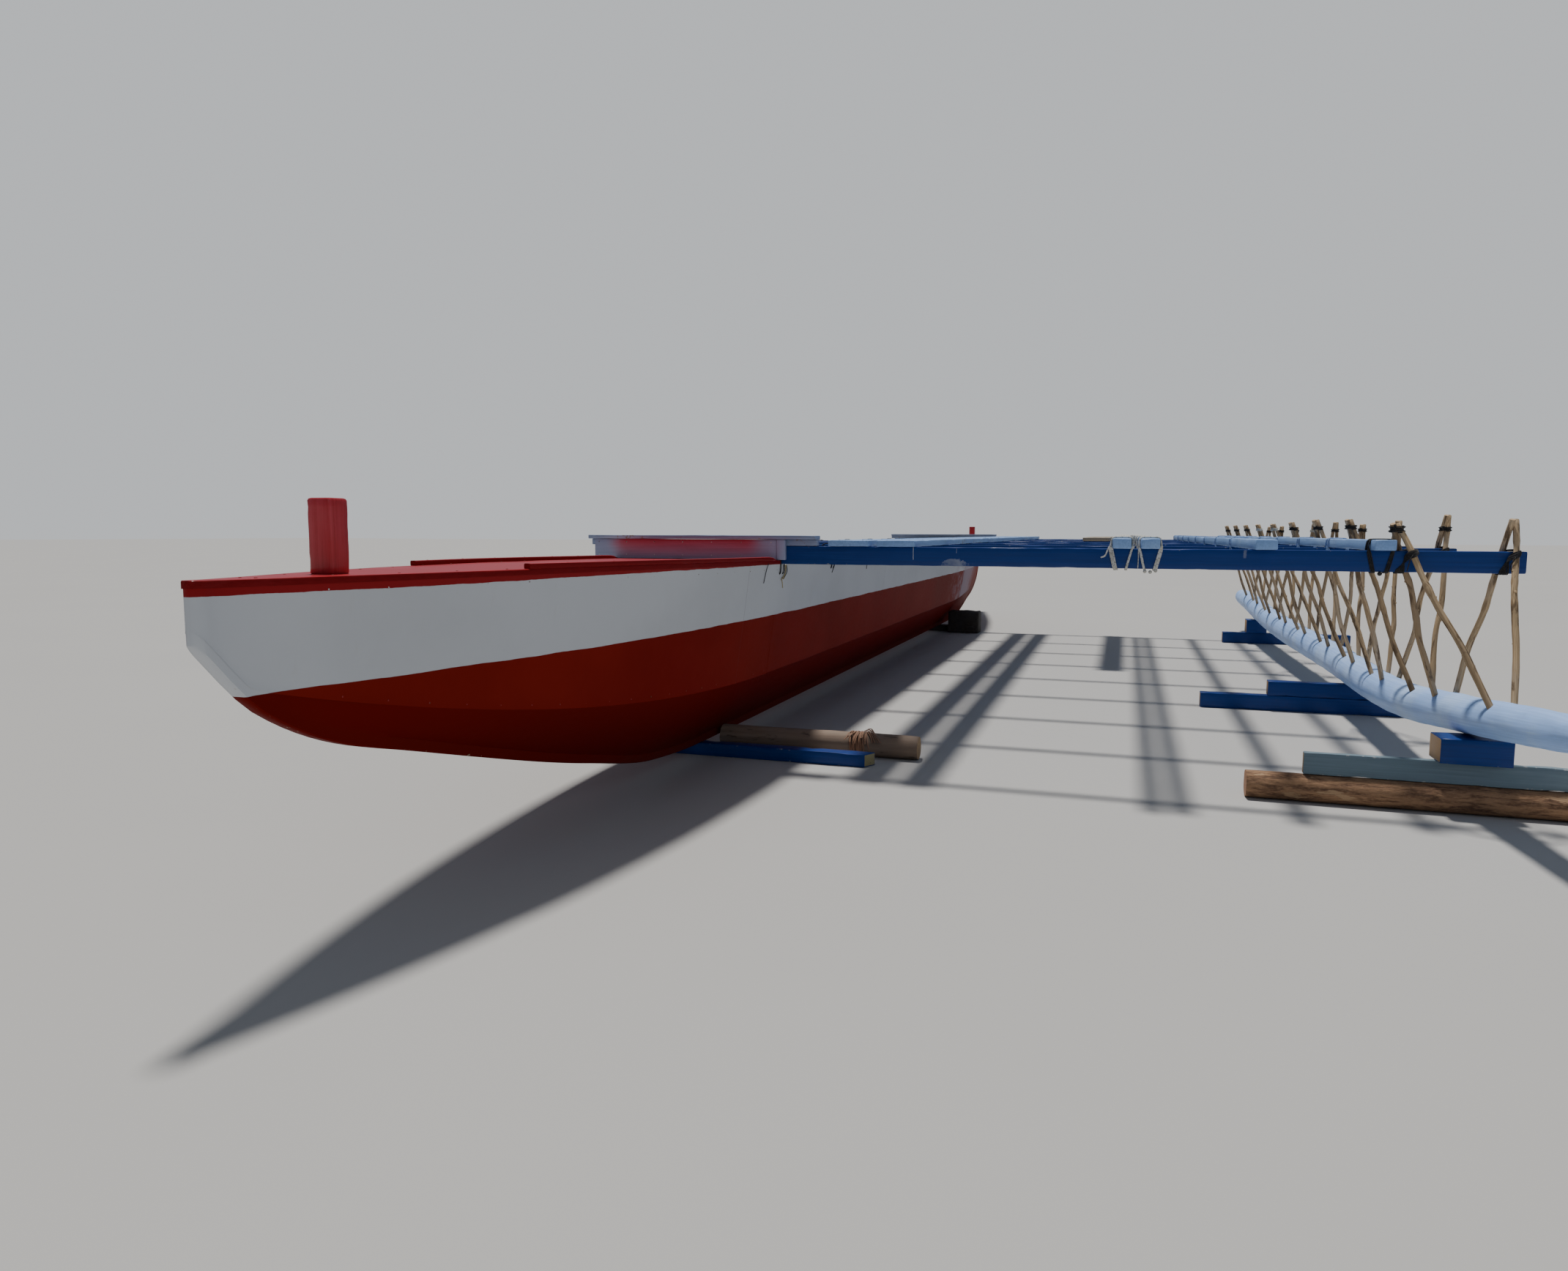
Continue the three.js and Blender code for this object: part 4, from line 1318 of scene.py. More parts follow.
class RoundMaker(Maker):
    """Round bars along lines: the float, sticks, logs and cords."""

    def __init__(self) -> None:
        """Builds the tree."""
        super().__init__("round_bars", {
            "Sides": ("Int", 12), "Lump Height": ("Float", 0.0), "Lump Length": ("Float", 0.1),
            "Hollow Depth": ("Float", 0.0), "Hollow Length": ("Float", 0.25), "Flat Share": ("Float", 1.0),
            "Seed": ("Int", 1), "Side Finish": ("Material", None), "End Finish": ("Material", None),
        })
        given = self.given
        lines = self.through("GeometryNodeMeshToCurve", {"Mesh": given["Geometry"]})
        spline = self.add("GeometryNodeSplineParameter")
        whole = self.add("FunctionNodeRandomValue", {
            "ID": self.through("GeometryNodeCurveOfPoint"), "Seed": given["Seed"],
        }, data_type="FLOAT_VECTOR")
        for key, value in (("Min", (-20.0, -0.05, -0.05)), ("Max", (20.0, 0.05, 0.05))):
            whole.inputs[key].default_value = value
        start = self.joined(x=spline.outputs["Length"])
        lines = self.keep(lines, "run", self.vector("ADD", start, whole.outputs[0]), "FLOAT_VECTOR")
        circle = self.through("GeometryNodeCurvePrimitiveCircle", {
            "Resolution": given["Sides"], "Radius": 1.0,
        })
        press = self.joined(x=1.0, y=given["Flat Share"], z=1.0)
        circle = self.through("GeometryNodeTransform", {"Geometry": circle, "Scale": press})
        circle = self.keep(circle, "round", self.through("GeometryNodeInputPosition"), "FLOAT_VECTOR")
        bars = self.through("GeometryNodeCurveToMesh", {
            "Curve": lines, "Profile Curve": circle, "Scale": self.named(RADIUS), "Fill Caps": True,
        })
        x, y, _ = self.axes(self.named("round", "FLOAT_VECTOR"))
        reach = self.named(RADIUS)
        across = self.joined(y=self.times(x, reach), z=self.times(y, reach))
        grain = self.vector("ADD", self.named("run", "FLOAT_VECTOR"), across)
        bars = self.keep(bars, GRAIN, grain, "FLOAT_VECTOR")
        fine = self.over(1.0, given["Lump Length"])
        lump = self.add("ShaderNodeTexNoise", {
            "Vector": self.through("GeometryNodeInputPosition"), "Scale": fine, "W": given["Seed"],
            "Detail": 2.0,
        }, noise_dimensions="4D").outputs["Fac"]
        rise = self.times(self.minus(lump, 0.5), given["Lump Height"])
        drawn = self.joined(x=self.over(1.0, given["Hollow Length"]), y=13.0, z=13.0)
        hollow = self.add("ShaderNodeTexVoronoi", {
            "Vector": self.vector("MULTIPLY", self.named(GRAIN, "FLOAT_VECTOR"), drawn), "Scale": 1.0,
        }).outputs["Distance"]
        rise = self.times_plus(self.minus(hollow, 0.5), given["Hollow Depth"], rise)
        offset = self.through("ShaderNodeVectorMath", {
            0: self.through("GeometryNodeInputNormal"), "Scale": rise,
        }, operation="SCALE")
        bars = self.through("GeometryNodeSetPosition", {"Geometry": bars, "Offset": offset})
        corners = self.add("GeometryNodeCornersOfFace").outputs["Total"]
        capped = self.maths("GREATER_THAN", corners, 4.5)
        bars = self.through("GeometryNodeSetShadeSmooth", {
            "Geometry": bars, "Shade Smooth": self.maths("LESS_THAN", corners, 4.5),
        }, domain="FACE")
        bars = self.through("GeometryNodeRealizeInstances", {"Geometry": bars})
        bars = self.through("GeometryNodeSetMaterial", {"Geometry": bars, "Material": given["Side Finish"]})
        bars = self.through("GeometryNodeSetMaterial", {
            "Geometry": bars, "Selection": capped, "Material": given["End Finish"],
        })
        self.tree.links.new(bars, self.out.inputs[0])

    def bars(self, name: str, lines: Sequence["Line"], slot: str, finishes: tuple[Finish, Finish],
             *nodes: str, sides: int = 12, lump: float = 0.0, lump_length: float = 0.1,
             hollow: float = 0.0, flat: float = 1.0, seed: int = 1) -> None:
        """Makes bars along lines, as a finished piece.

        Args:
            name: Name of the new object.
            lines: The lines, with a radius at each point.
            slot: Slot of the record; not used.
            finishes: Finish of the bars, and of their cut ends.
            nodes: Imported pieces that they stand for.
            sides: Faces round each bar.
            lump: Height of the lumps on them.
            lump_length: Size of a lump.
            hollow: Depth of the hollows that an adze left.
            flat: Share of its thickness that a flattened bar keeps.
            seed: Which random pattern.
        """
        mesh = bpy.data.meshes.new(f"{name}_lines")
        starts = np.cumsum([0] + [len(line.points) for line in lines])
        edges = []
        for start, line in zip(starts, lines):
            count = len(line.points)
            edges += [(start + n, start + n + 1) for n in range(count - 1)]
            if line.closed:
                edges.append((start + count - 1, start))
        points = np.concatenate([line.points for line in lines]) + CENTRE
        mesh.from_pydata(points.tolist(), [tuple(map(int, e)) for e in edges], [])
        radii = np.concatenate([np.broadcast_to(line.radius, len(line.points)) for line in lines])
        mesh.attributes.new(RADIUS, "FLOAT", "POINT").data.foreach_set("value", radii.astype(np.float32))
        side, end = (finish.material() for finish in finishes)
        thing = self.run(mesh, name, Sides=sides, Lump_Height=lump, Lump_Length=lump_length,
                         Hollow_Depth=hollow, Flat_Share=flat, Seed=seed, Side_Finish=side, End_Finish=end)
        seat(thing, *nodes)


@dataclass
class Line:
    """Centre line of a bar or cord, in the canoe's frame.

    Attributes:
        points: Points along it.
        radius: Radius at each point, or one for all.
        closed: Whether it comes back to its first point.
    """

    points: Array
    radius: Array | float
    closed: bool = False


def loop(points: Sequence[Sequence[float]], radius: float, pitch: float = 0.011) -> Line:
    """Closed line, smooth through a few points."""
    return Line(smooth_path(points, pitch, closed=True), radius, closed=True)


class HeadMaker(Maker):
    """Nail heads, knots and other small domes at given points."""

    def __init__(self) -> None:
        """Builds the tree."""
        super().__init__("small_heads", {
            "Head Radius": ("Float", 0.004), "Head Height": ("Float", 0.0015), "Spread": ("Float", 0.15),
            "Seed": ("Int", 1), "Finish": ("Material", None),
        })
        given = self.given
        ball = self.through("GeometryNodeMeshUVSphere", {"Segments": 8, "Rings": 5, "Radius": 1.0})
        flat = self.joined(x=given["Head Radius"], y=given["Head Radius"], z=given["Head Height"])
        head = self.through("GeometryNodeTransform", {"Geometry": ball, "Scale": flat})
        head = self.through("GeometryNodeSetShadeSmooth", {"Geometry": head})
        points = self.through("GeometryNodeMeshToPoints", {"Mesh": given["Geometry"]})
        facing = self.named(FACING, "FLOAT_VECTOR")
        turn = self.through("FunctionNodeAlignRotationToVector", {"Vector": facing}, axis="Z")
        chance = self.add("FunctionNodeRandomValue", {"Seed": given["Seed"]}, data_type="FLOAT")
        self.put(chance.inputs[2], self.minus(1.0, given["Spread"]))
        self.put(chance.inputs[3], self.maths("ADD", 1.0, given["Spread"]))
        heads = self.through("GeometryNodeInstanceOnPoints", {
            "Points": points, "Instance": head, "Rotation": turn, "Scale": chance.outputs[1],
        })
        heads = self.through("GeometryNodeRealizeInstances", {"Geometry": heads})
        heads = self.through("GeometryNodeSetMaterial", {"Geometry": heads, "Material": given["Finish"]})
        self.tree.links.new(heads, self.out.inputs[0])

    def heads(self, name: str, placed: Sequence[tuple[Sequence[float], Sequence[float]]], slot: str,
              finish: Finish, size: tuple[float, float], seed: int, spread: float = 0.15) -> None:
        """Makes a dome at each point, as a finished piece.

        Args:
            name: Name of the new object.
            placed: Where each one is, in the canoe's frame, and the direction that it faces.
            slot: Slot of the record; not used.
            finish: Their finish.
            size: Radius and height of a dome.
            seed: Which random sizes.
            spread: How far their sizes differ.
        """
        points, facing = zip(*placed)
        mesh = bpy.data.meshes.new(f"{name}_points")
        mesh.from_pydata((np.asarray(points, float) + CENTRE).tolist(), [], [])
        attribute = mesh.attributes.new(FACING, "FLOAT_VECTOR", "POINT")
        attribute.data.foreach_set("vector", np.asarray(facing, np.float32).ravel())
        thing = self.run(mesh, name, Head_Radius=size[0], Head_Height=size[1], Spread=spread, Seed=seed,
                         Finish=finish.material())
        seat(thing)


@dataclass(frozen=True)
class Taper:
    """How a half-beam closes towards one end.

    Attributes:
        full: Distance from the middle up to which it is whole.
        tip: Distance at which it is gone.
        power: How full it stays on the way.
    """

    full: float
    tip: float
    power: float

    def share(self, x: Array) -> Array:
        """Share of the half-beam that is left."""
        return 1 - np.clip((np.abs(x) - self.full) / (self.tip - self.full), 0, 1) ** self.power


@dataclass(frozen=True)
class EndLines:
    """Lines of one end of the hull.

    Attributes:
        tip: Distance of its tip from the middle.
        deck: Taper of the half-beam at the deck.
        chine: Taper of the half-beam at the chine.
        rise_from: Where the chine starts to rise.
        rise_to: Where it stops.
        rise: How far the chine rises.
        rise_power: How late it rises.
    """

    tip: float
    deck: Taper
    chine: Taper
    rise_from: float
    rise_to: float
    rise: float
    rise_power: float


@dataclass
class HullLines:
    """Lines that every piece of the hull follows.

    Attributes:
        ends: Lines of each end.
        deck_full: Half-beam at the deck amidships.
        chine_full: Half-beam at the chine amidships.
        least: Half-beam at the tips.
        chine_mid: Height of the chine amidships.
        sheer_mid: Height of the sheer amidships.
        keel_half: Half the keel's width.
        keel_depth: How far the keel stands below the bottom planking.
        skin: Thickness of the planking.
        keel: Places and heights of the keel's underside.
        sheer: Places, and rises of the sheer over its height amidships.
    """

    ends: dict[End, EndLines] = field(default_factory=lambda: {
        End.BOW: EndLines(8.03, Taper(3.6, 8.06, 2.6), Taper(3.6, 7.85, 2.4), 4.3, 8.0, 0.418, 2.5),
        End.STERN: EndLines(8.24, Taper(3.4, 8.27, 1.8), Taper(2.6, 8.1, 1.4), 2.5, 8.24, 0.12, 2.2),
    })
    deck_full: float = 0.55
    chine_full: float = 0.462
    least: float = 0.03
    chine_mid: float = 0.535
    sheer_mid: float = 1.1967
    keel_half: float = 0.028
    keel_depth: float = 0.045
    skin: float = 0.018
    keel: tuple[tuple[float, float], ...] = (
        (-8.24, 1.0), (-8.15, 0.76), (-7.9, 0.57), (-7.4, 0.4), (-6.75, 0.285), (-6.0, 0.15),
        (-5.3, 0.092), (-4.7, 0.08), (4.5, 0.08), (5.1, 0.112), (5.84, 0.25), (7.16, 0.585),
        (7.5, 0.68), (7.8, 0.83), (8.03, 1.06),
    )
    sheer: tuple[tuple[float, float], ...] = (
        (-8.24, 0.025), (-6.7, 0.022), (-4.7, 0.003), (-4.43, 0.0),
        (4.43, 0.0), (4.7, 0.003), (6.7, 0.022), (8.03, 0.025),
    )

    def _by_end(self, x: Array, value: Callable[[EndLines], Array]) -> Array:
        """Value worked out with the lines of the end that each place is nearer."""
        return np.where(x >= 0, value(self.ends[End.BOW]), value(self.ends[End.STERN]))

    def deck_half(self, x: Array) -> Array:
        """Half-beam at the deck."""
        return np.maximum(self.deck_full * self._by_end(x, lambda end: end.deck.share(x)), self.least)

    def chine_half(self, x: Array) -> Array:
        """Half-beam at the chine."""
        return np.maximum(self.chine_full * self._by_end(x, lambda end: end.chine.share(x)), self.least)

    def keel_z(self, x: Array) -> Array:
        """Height of the keel's underside."""
        return smooth_curve(*zip(*self.keel))(x)

    def apex_z(self, x: Array) -> Array:
        """Height at which the bottom planking meets the keel."""
        return self.keel_z(x) + self.keel_depth

    def sheer_z(self, x: Array) -> Array:
        """Height of the sheer."""
        return self.sheer_mid + smooth_curve(*zip(*self.sheer))(x)

    def chine_z(self, x: Array) -> Array:
        """Height of the chine.

        Args:
            x: Places along the canoe.

        Returns:
            The heights.
        """
        def rise(end: EndLines) -> Array:
            """How far the chine has risen towards one end.

            Args:
                end: Lines of that end.

            Returns:
                The rise at each place.
            """
            gone = (np.abs(x) - end.rise_from) / (end.rise_to - end.rise_from)
            return end.rise * np.clip(gone, 0, 1) ** end.rise_power

        return np.maximum(self.chine_mid + self._by_end(x, rise), self.apex_z(x))

    def side_at(self, x: Array, share: Array) -> tuple[Array, Array]:
        """Half-breadth and height of the side's outer face, at a share of the way up from the chine.

        Args:
            x: Places along the canoe.
            share: Share of the way up.

        Returns:
            The half-breadths and the heights.
        """
        low, high = self.chine_z(x), self.sheer_z(x)
        foot = self.chine_half(x)
        return foot + (self.deck_half(x) - foot) * share, low + (high - low) * share


@dataclass
class OpenHull:
    """The open middle of the hull, from bulkhead to bulkhead: sides, bottoms, keel and framing.

    Attributes:
        lines: The hull's lines.
        half: Distance from the middle to a bulkhead.
        pitch: Spacing of the skin's rings.
        fair: How far the planking strays from fair.
        kelson: How far the keel's top stands above the bottom planking.
        eased: Width of the framing's eased edges.
    """

    lines: HullLines
    half: float = 4.425
    pitch: float = 0.06
    fair: float = 0.0014
    kelson: float = 0.012
    eased: float = 0.003

    @property
    def stations(self) -> Array:
        """Places of the rings."""
        return np.linspace(-self.half, self.half, int(2 * self.half / self.pitch))

    def _ring(self, x: Array, y: Array, z: Array, seed: int) -> Array:
        """Rings through half-breadths and heights, a little out of fair across the canoe.

        Args:
            x: Place of each ring.
            y: Half-breadths.
            z: Heights.
            seed: Which random pattern.

        Returns:
            The rings.
        """
        points = cross_rings(x, y, z)
        points[..., 1] += self.fair * ripple(points * np.array([1, 0, 1]), 0.7, seed)
        return points

    def side(self, side: Side) -> None:
        """Makes one side, its outer face painted as the hull's and its inner as the inside's.

        Args:
            side: Side of the hull.
        """
        x = self.stations
        share = np.concatenate([np.linspace(0, 0.994, 12), [1.0], [1.0], np.linspace(0.994, 0, 8)])
        skin = self.lines.skin
        inward = np.concatenate([np.zeros(12), [0.004, skin - 0.004], np.full(8, skin)])
        half, z = self.lines.side_at(x[:, None], share[None, :])
        edge = np.where(share > 0.99, 1.0, 0.0)
        slots = np.where(np.arange(len(share)) < 13, 0, 1)
        rings = self._ring(x, side.value * (half - inward), z + CLEAR, 11)
        below = self.lines.sheer_z(x)[:, None] - z
        loft = Loft(rings, edge=edge, slots=slots, values={BELOW_SHEER: below})
        thing = loft.build(f"hull_side_planking_{side.word}")
        seat(dress(thing, "hull_white", HULL_PAINT, INSIDE_PAINT), f"hull_side_{side.word}")

    def bottom(self, side: Side) -> None:
        """Makes one half of the V bottom.

        Args:
            side: Side of the hull.
        """
        x, lines = self.stations, self.lines
        chine, chine_z, apex = lines.chine_half(x), lines.chine_z(x), lines.apex_z(x)
        slope = np.arctan2(chine_z - apex, chine - lines.keel_half)
        inner_apex, inner_chine = apex + lines.skin / np.cos(slope), chine - lines.skin / np.sin(slope)
        foot = np.full_like(x, lines.keel_half)
        y = self._skin(foot, chine - 0.003, [chine + 0.001, chine + 0.0005], inner_chine, foot)
        z = self._skin(apex, chine_z - 0.006, [chine_z - 0.003, chine_z], chine_z, inner_apex)
        slots = np.where(np.arange(y.shape[1]) < 12, 0, 1)
        loft = Loft(self._ring(x, side.value * y, z, 12), slots=slots, values={BELOW_SHEER: 1.0})
        thing = loft.build(f"hull_bottom_planking_{side.word}")
        seat(dress(thing, "hull_red", HULL_PAINT, INSIDE_PAINT), f"hull_bottom_{side.word}")

    @staticmethod
    def _skin(foot: Array, top: Array, turn: list[Array], inner_top: Array, inner_foot: Array) -> Array:
        """One measure of each ring: up the outer face in ten points, round the chine and down the inner.

        Args:
            foot: The measure at the outer face's foot, for each ring.
            top: At its top.
            turn: At the two points round the chine.
            inner_top: At the inner face's top.
            inner_foot: At its foot.

        Returns:
            The measures, as rings by points.
        """
        faces = [a[:, None] + (b - a)[:, None] * np.linspace(0, 1, 10)
                 for a, b in ((foot, top), (inner_top, inner_foot))]
        return np.concatenate([faces[0], np.stack(turn, -1), faces[1]], axis=1)

    def keel_timber(self) -> None:
        """Makes the keel."""
        x, lines = self.stations, self.lines
        slope = np.arctan2(lines.chine_z(x) - lines.apex_z(x), lines.chine_half(x) - lines.keel_half)
        top = lines.apex_z(x) + lines.skin / np.cos(slope) + self.kelson
        section, worn = rounded_section(2 * lines.keel_half - 2 * CLEAR, 1.0, 0.006, pitch=0.2)
        z = lines.keel_z(x)[:, None] + (section[:, 1] + 0.5) * (top - lines.keel_z(x))[:, None]
        loft = Loft(cross_rings(x, section[:, 0], z), edge=worn, values={BELOW_SHEER: 1.0})
        seat(dress(loft.build("keel_timber"), "hull_red", HULL_PAINT), "keel")

    def framing(self) -> None:
        """Makes the ribs, bulkheads and inwales, with eased edges."""
        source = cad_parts["hull_framing"]
        shape = bmesh.new()
        shape.from_mesh(source.data)
        bmesh.ops.remove_doubles(shape, verts=shape.verts, dist=1e-5)
        bmesh.ops.dissolve_limit(shape, angle_limit=0.01, verts=shape.verts, edges=shape.edges)
        mesh = bpy.data.meshes.new("hull_ribs_and_inwales")
        shape.to_mesh(mesh)
        shape.free()
        thing = new_thing("hull_ribs_and_inwales", mesh)
        bevel = thing.modifiers.new("eased", "BEVEL")
        bevel.width, bevel.segments = self.eased, 2
        bevel.limit_method, bevel.angle_limit = "ANGLE", math.radians(35)
        eased = evaluated_mesh(thing)
        thing.modifiers.clear()
        thing.data = eased
        self._add_grain(eased)
        seat(dress(thing, "inside_paint", INSIDE_PAINT), "hull_framing")

    @staticmethod
    def _add_grain(mesh: bpy.types.Mesh) -> None:
        """Keeps each point's place as its grain, along the canoe.

        Args:
            mesh: The mesh.
        """
        grain = mesh.attributes.new(GRAIN, "FLOAT_VECTOR", "POINT")
        places = np.zeros(len(mesh.vertices) * 3, np.float32)
        mesh.vertices.foreach_get("co", places)
        grain.data.foreach_set("vector", places)
        mesh.shade_smooth()
        mesh.set_sharp_from_angle(angle=math.radians(30))

    def build(self) -> None:
        """Makes every piece."""
        for side in Side:
            self.side(side)
            self.bottom(side)
        self.keel_timber()
        self.framing()


@dataclass
class DeckedEnd:
    """One decked end: hull, deck sheet, two rails, mooring post, end panel and cap.

    Attributes:
        lines: The hull's lines.
        end: Which end it is.
        heads: Maker of nail heads.
        start: Distance of its bulkhead from the middle.
        deck_thick: Thickness of the deck sheet.
        overhang: How far the sheet stands out over the side.
        rail: Width and height of a rail.
        rail_spans: Distances from the middle between which the rail of each side runs.
        post_x: Distance of the mooring post from the middle.
        post_size: Width of the post.
        post_top: Height of its top.
        panel_y: Sides of the end panel.
        panel_thick: Its thickness.
        corner: Width and thickness of its corner post.
        beam_top: Height of the crossbeams' tops.
        batten: Height of the batten under the cap, and half its width.
        cap_x: Distances of the batten and of the cap plank from the middle.
        cap_y: Ends of the cap.
        cap: Width and thickness of the cap plank.
        fair: How far the planking strays from fair.
        dished: How far the deck's face lies below true.
        post_sunk: How far the post runs down into the deck.
        pitches: Spacing of the nails, by the line that they follow.
    """

    lines: HullLines
    end: End
    heads: HeadMaker
    start: float = 4.4253
    deck_thick: float = 0.024
    overhang: float = 0.004
    rail: tuple[float, float] = (0.028, 0.020)
    rail_spans: dict[Side, tuple[float, float]] = field(default_factory=lambda: {
        Side.FLOAT: (4.5, 6.79), Side.LEE: (4.46, 6.64),
    })
    post_x: float = 7.48
    post_size: float = 0.09
    post_top: float = 1.493
    panel_y: tuple[float, float] = (-0.69, 0.58)
    panel_thick: float = 0.024
    corner: tuple[float, float] = (0.052, 0.034)
    beam_top: float = 1.305
    batten: tuple[float, float] = (0.038, 0.020)
    cap_x: tuple[float, float] = (4.4, 4.415)
    cap_y: tuple[float, float] = (-0.726, 0.770)
    cap: tuple[float, float] = (0.110, 0.024)
    fair: float = 0.0014
    dished: float = 0.0012
    post_sunk: float = 0.004
    pitches: dict[str, float] = field(default_factory=lambda: {
        "rail": 0.31, "deck": 0.24, "chine": 0.17, "sheer": 0.21,
    })

    @property
    def tip(self) -> float:
        """Distance of the hull's tip from the middle."""
        return self.lines.ends[self.end].tip

    def _stations(self, first: float, last: float) -> Array:
        """Places along the canoe between two distances, close together where the last is the tip.

        Args:
            first: Nearer distance from the middle.
            last: Farther distance.

        Returns:
            The places.
        """
        count = int((last - first) / 0.055)
        places = np.linspace(first, last, count)
        if last >= self.tip:
            close = last - 0.09 * np.linspace(1, 0, 12) ** 1.6
            places = np.concatenate([places[places < last - 0.09], close])
        return self.end.value * places

    def _closing(self, x: Array, tip: float) -> Array:
        """Share of the width left where the very tip is rounded."""
        return np.sqrt(1 - 0.9 * np.clip((np.abs(x) - tip + 0.04) / 0.04, 0, 1) ** 2)

    def hull(self) -> None:
        """Makes the closed hull under the deck."""
        x, lines = self._stations(self.start, self.tip), self.lines
        share = np.linspace(1, 0, 11)
        half, z = lines.side_at(x[:, None], share[None, :])
        foot = np.minimum(lines.keel_half, lines.chine_half(x) - 0.002)[:, None]
        chine, chine_z = lines.chine_half(x)[:, None], lines.chine_z(x)[:, None]
        apex, keel = lines.apex_z(x)[:, None], lines.keel_z(x)[:, None]
        down = np.linspace(0, 1, 7)[None, :]
        y = [half[:, :-1], chine + 0.0004, chine + 0.001 + (foot - chine) * down, foot, foot - 0.006]
        y = np.concatenate(y, axis=1)
        bottom = chine_z - 0.003 + (apex - chine_z + 0.003) * down
        height = np.concatenate([z[:, :-1], chine_z + 0.0015, bottom, keel + 0.006, keel], axis=1)
        lower = np.ones((len(x), down.shape[1] + 2))
        below = np.concatenate([lines.sheer_z(x)[:, None] - z, lower], axis=1)
        points = cross_rings(x, y * self._closing(x, self.tip)[:, None], height)
        fade = np.clip((self.tip - np.abs(x)) / 0.4, 0, 1)[:, None]
        points[..., 1] += self.fair * fade * ripple(points, 0.6, 21)
        mirrored = (points * np.array([1, -1, 1]))[:, ::-1]
        rings = np.concatenate([points, mirrored], axis=1)
        edge = np.zeros(rings.shape[1])
        edge[[y.shape[1] - 2, y.shape[1] - 1, y.shape[1], y.shape[1] + 1]] = 1.0
        loft = Loft(rings, edge=edge, values={BELOW_SHEER: np.concatenate([below, below[:, ::-1]], axis=1)})
        thing = loft.build(f"hull_{self.end.word}_planking")
        seat(dress(thing, "hull_white", HULL_PAINT), f"hull_end_{self.end.word}")

    def deck_top(self, x: Array) -> Array:
        """Height of the deck."""
        return self.lines.sheer_z(x) + self.deck_thick

    def deck(self) -> None:
        """Makes the deck sheet, its rails and the mooring post."""
        node = f"deck_{self.end.word}"
        x = self._stations(self.start, self.tip + self.overhang)
        half = (self.lines.deck_half(x) + self.overhang) * self._closing(x, self.tip + self.overhang)
        across = np.concatenate([[1, 1, 1], np.linspace(1, -1, 15), [-1, -1, -1]])
        inset = np.array([0.0, 0, 0.002] + [0.006] + [0] * 13 + [0.006] + [0.002, 0, 0])
        rise = np.array([0.0, 0.75, 0.94] + [1.0] * 15 + [0.94, 0.75, 0.0])
        y = across * (half[:, None] - inset * np.minimum(half[:, None] / 0.03, 1))
        z = self.lines.sheer_z(x)[:, None] + CLEAR + rise * (self.deck_thick - CLEAR)
        rings = cross_rings(x, y, z)
        rings[..., 2] -= self.dished * (0.5 + 0.5 * ripple(rings, 0.45, 31)) * (rise > 0.9)
        edge = (np.abs(across) > 0.99).astype(float)
        seat(self._edged(Loft(rings, edge=edge).build(f"{node}_sheet")), node)
        for side in Side:
            self._deck_rail(side, node)
        x0 = self.end.value * self.post_x
        low = float(self.deck_top(x0)) - self.post_sunk
        reach = self.post_size / 2
        post = Timber(f"mooring_post_{self.end.word}", (x0 - reach, -reach, low),
                      (x0 + reach, reach, self.post_top), Axis.Z, ease=0.009, chip=0.0015, uneven=0.0006,
                      pitch=0.02)
        post.place("deck_red", DECK_PAINT, DECK_PAINT, node)

    def _deck_rail(self, side: Side, node: str) -> None:
        """Makes the low rail along one edge of the deck.

        Args:
            side: Side of the hull.
            node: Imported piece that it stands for.
        """
        start, stop = self.rail_spans[side]
        x = self._stations(start, stop)
        width, height = self.rail
        section, worn = rounded_section(width, height + 0.002, 0.005)
        slope = np.clip((np.abs(x) - start) / 0.07, 0.2, 1)
        y = side.value * (self.lines.deck_half(x)[:, None] + self.overhang - width / 2 + section[:, 0])
        z = self.deck_top(x)[:, None] - 0.002 + (section[:, 1] + (height + 0.002) / 2) * slope[:, None]
        rings = cross_rings(x, y, z)
        rings[..., 1] += 0.0012 * ripple(rings, 0.3, 41)
        name = f"deck_rail_{self.end.word}_{side.word}"
        seat(self._edged(Loft(rings, edge=worn).build(name)), node)

    @staticmethod
    def _edged(thing: Thing) -> Thing:
        """Dresses a piece of the deck, its upright faces in a darker red that is painted shade, like the
        deck's paint lapping over the side.

        Args:
            thing: The piece.

        Returns:
            The same piece.
        """
        # Upright faces get the darker red as painted shade; the tops keep the deck's paint.
        for face in thing.data.polygons:
            face.material_index = int(abs(face.normal.z) < 0.55)
        return dress(thing, "deck_red", DECK_PAINT, SHADED_DECK_PAINT)

    def _along(self, near: float, far: float) -> tuple[float, float]:
        """Two distances from the middle, as places along the canoe in rising order."""
        return (near, far) if self.end is End.BOW else (-far, -near)

    def panel(self) -> None:
        """Makes the end panel and its corner post."""
        node = f"end_panel_{self.end.word}"
        low = node_box(node)[0][2]
        high = self.beam_top + self.batten[0] - CLEAR
        split = self.panel_y[1] - self.corner[0]
        x0, x1 = self._along(self.start, self.start + self.panel_thick)
        board = Timber(f"{node}_board", (x0, self.panel_y[0], low), (x1, split + 0.004, high), Axis.Y,
                       ease=0.002, uneven=0.0012)
        # The board's face carries the painted reflection of the deck.
        board.place("panel_white", REFLECTING_PANEL_PAINT, PANEL_PAINT, node)
        x0, x1 = self._along(self.start, self.start + self.corner[1])
        post = Timber(f"{node}_corner", (x0, split, low), (x1, self.panel_y[1], high), Axis.Z, ease=0.004,
                      pitch=0.03)
        post.place("panel_white", PANEL_PAINT, PANEL_PAINT, node)

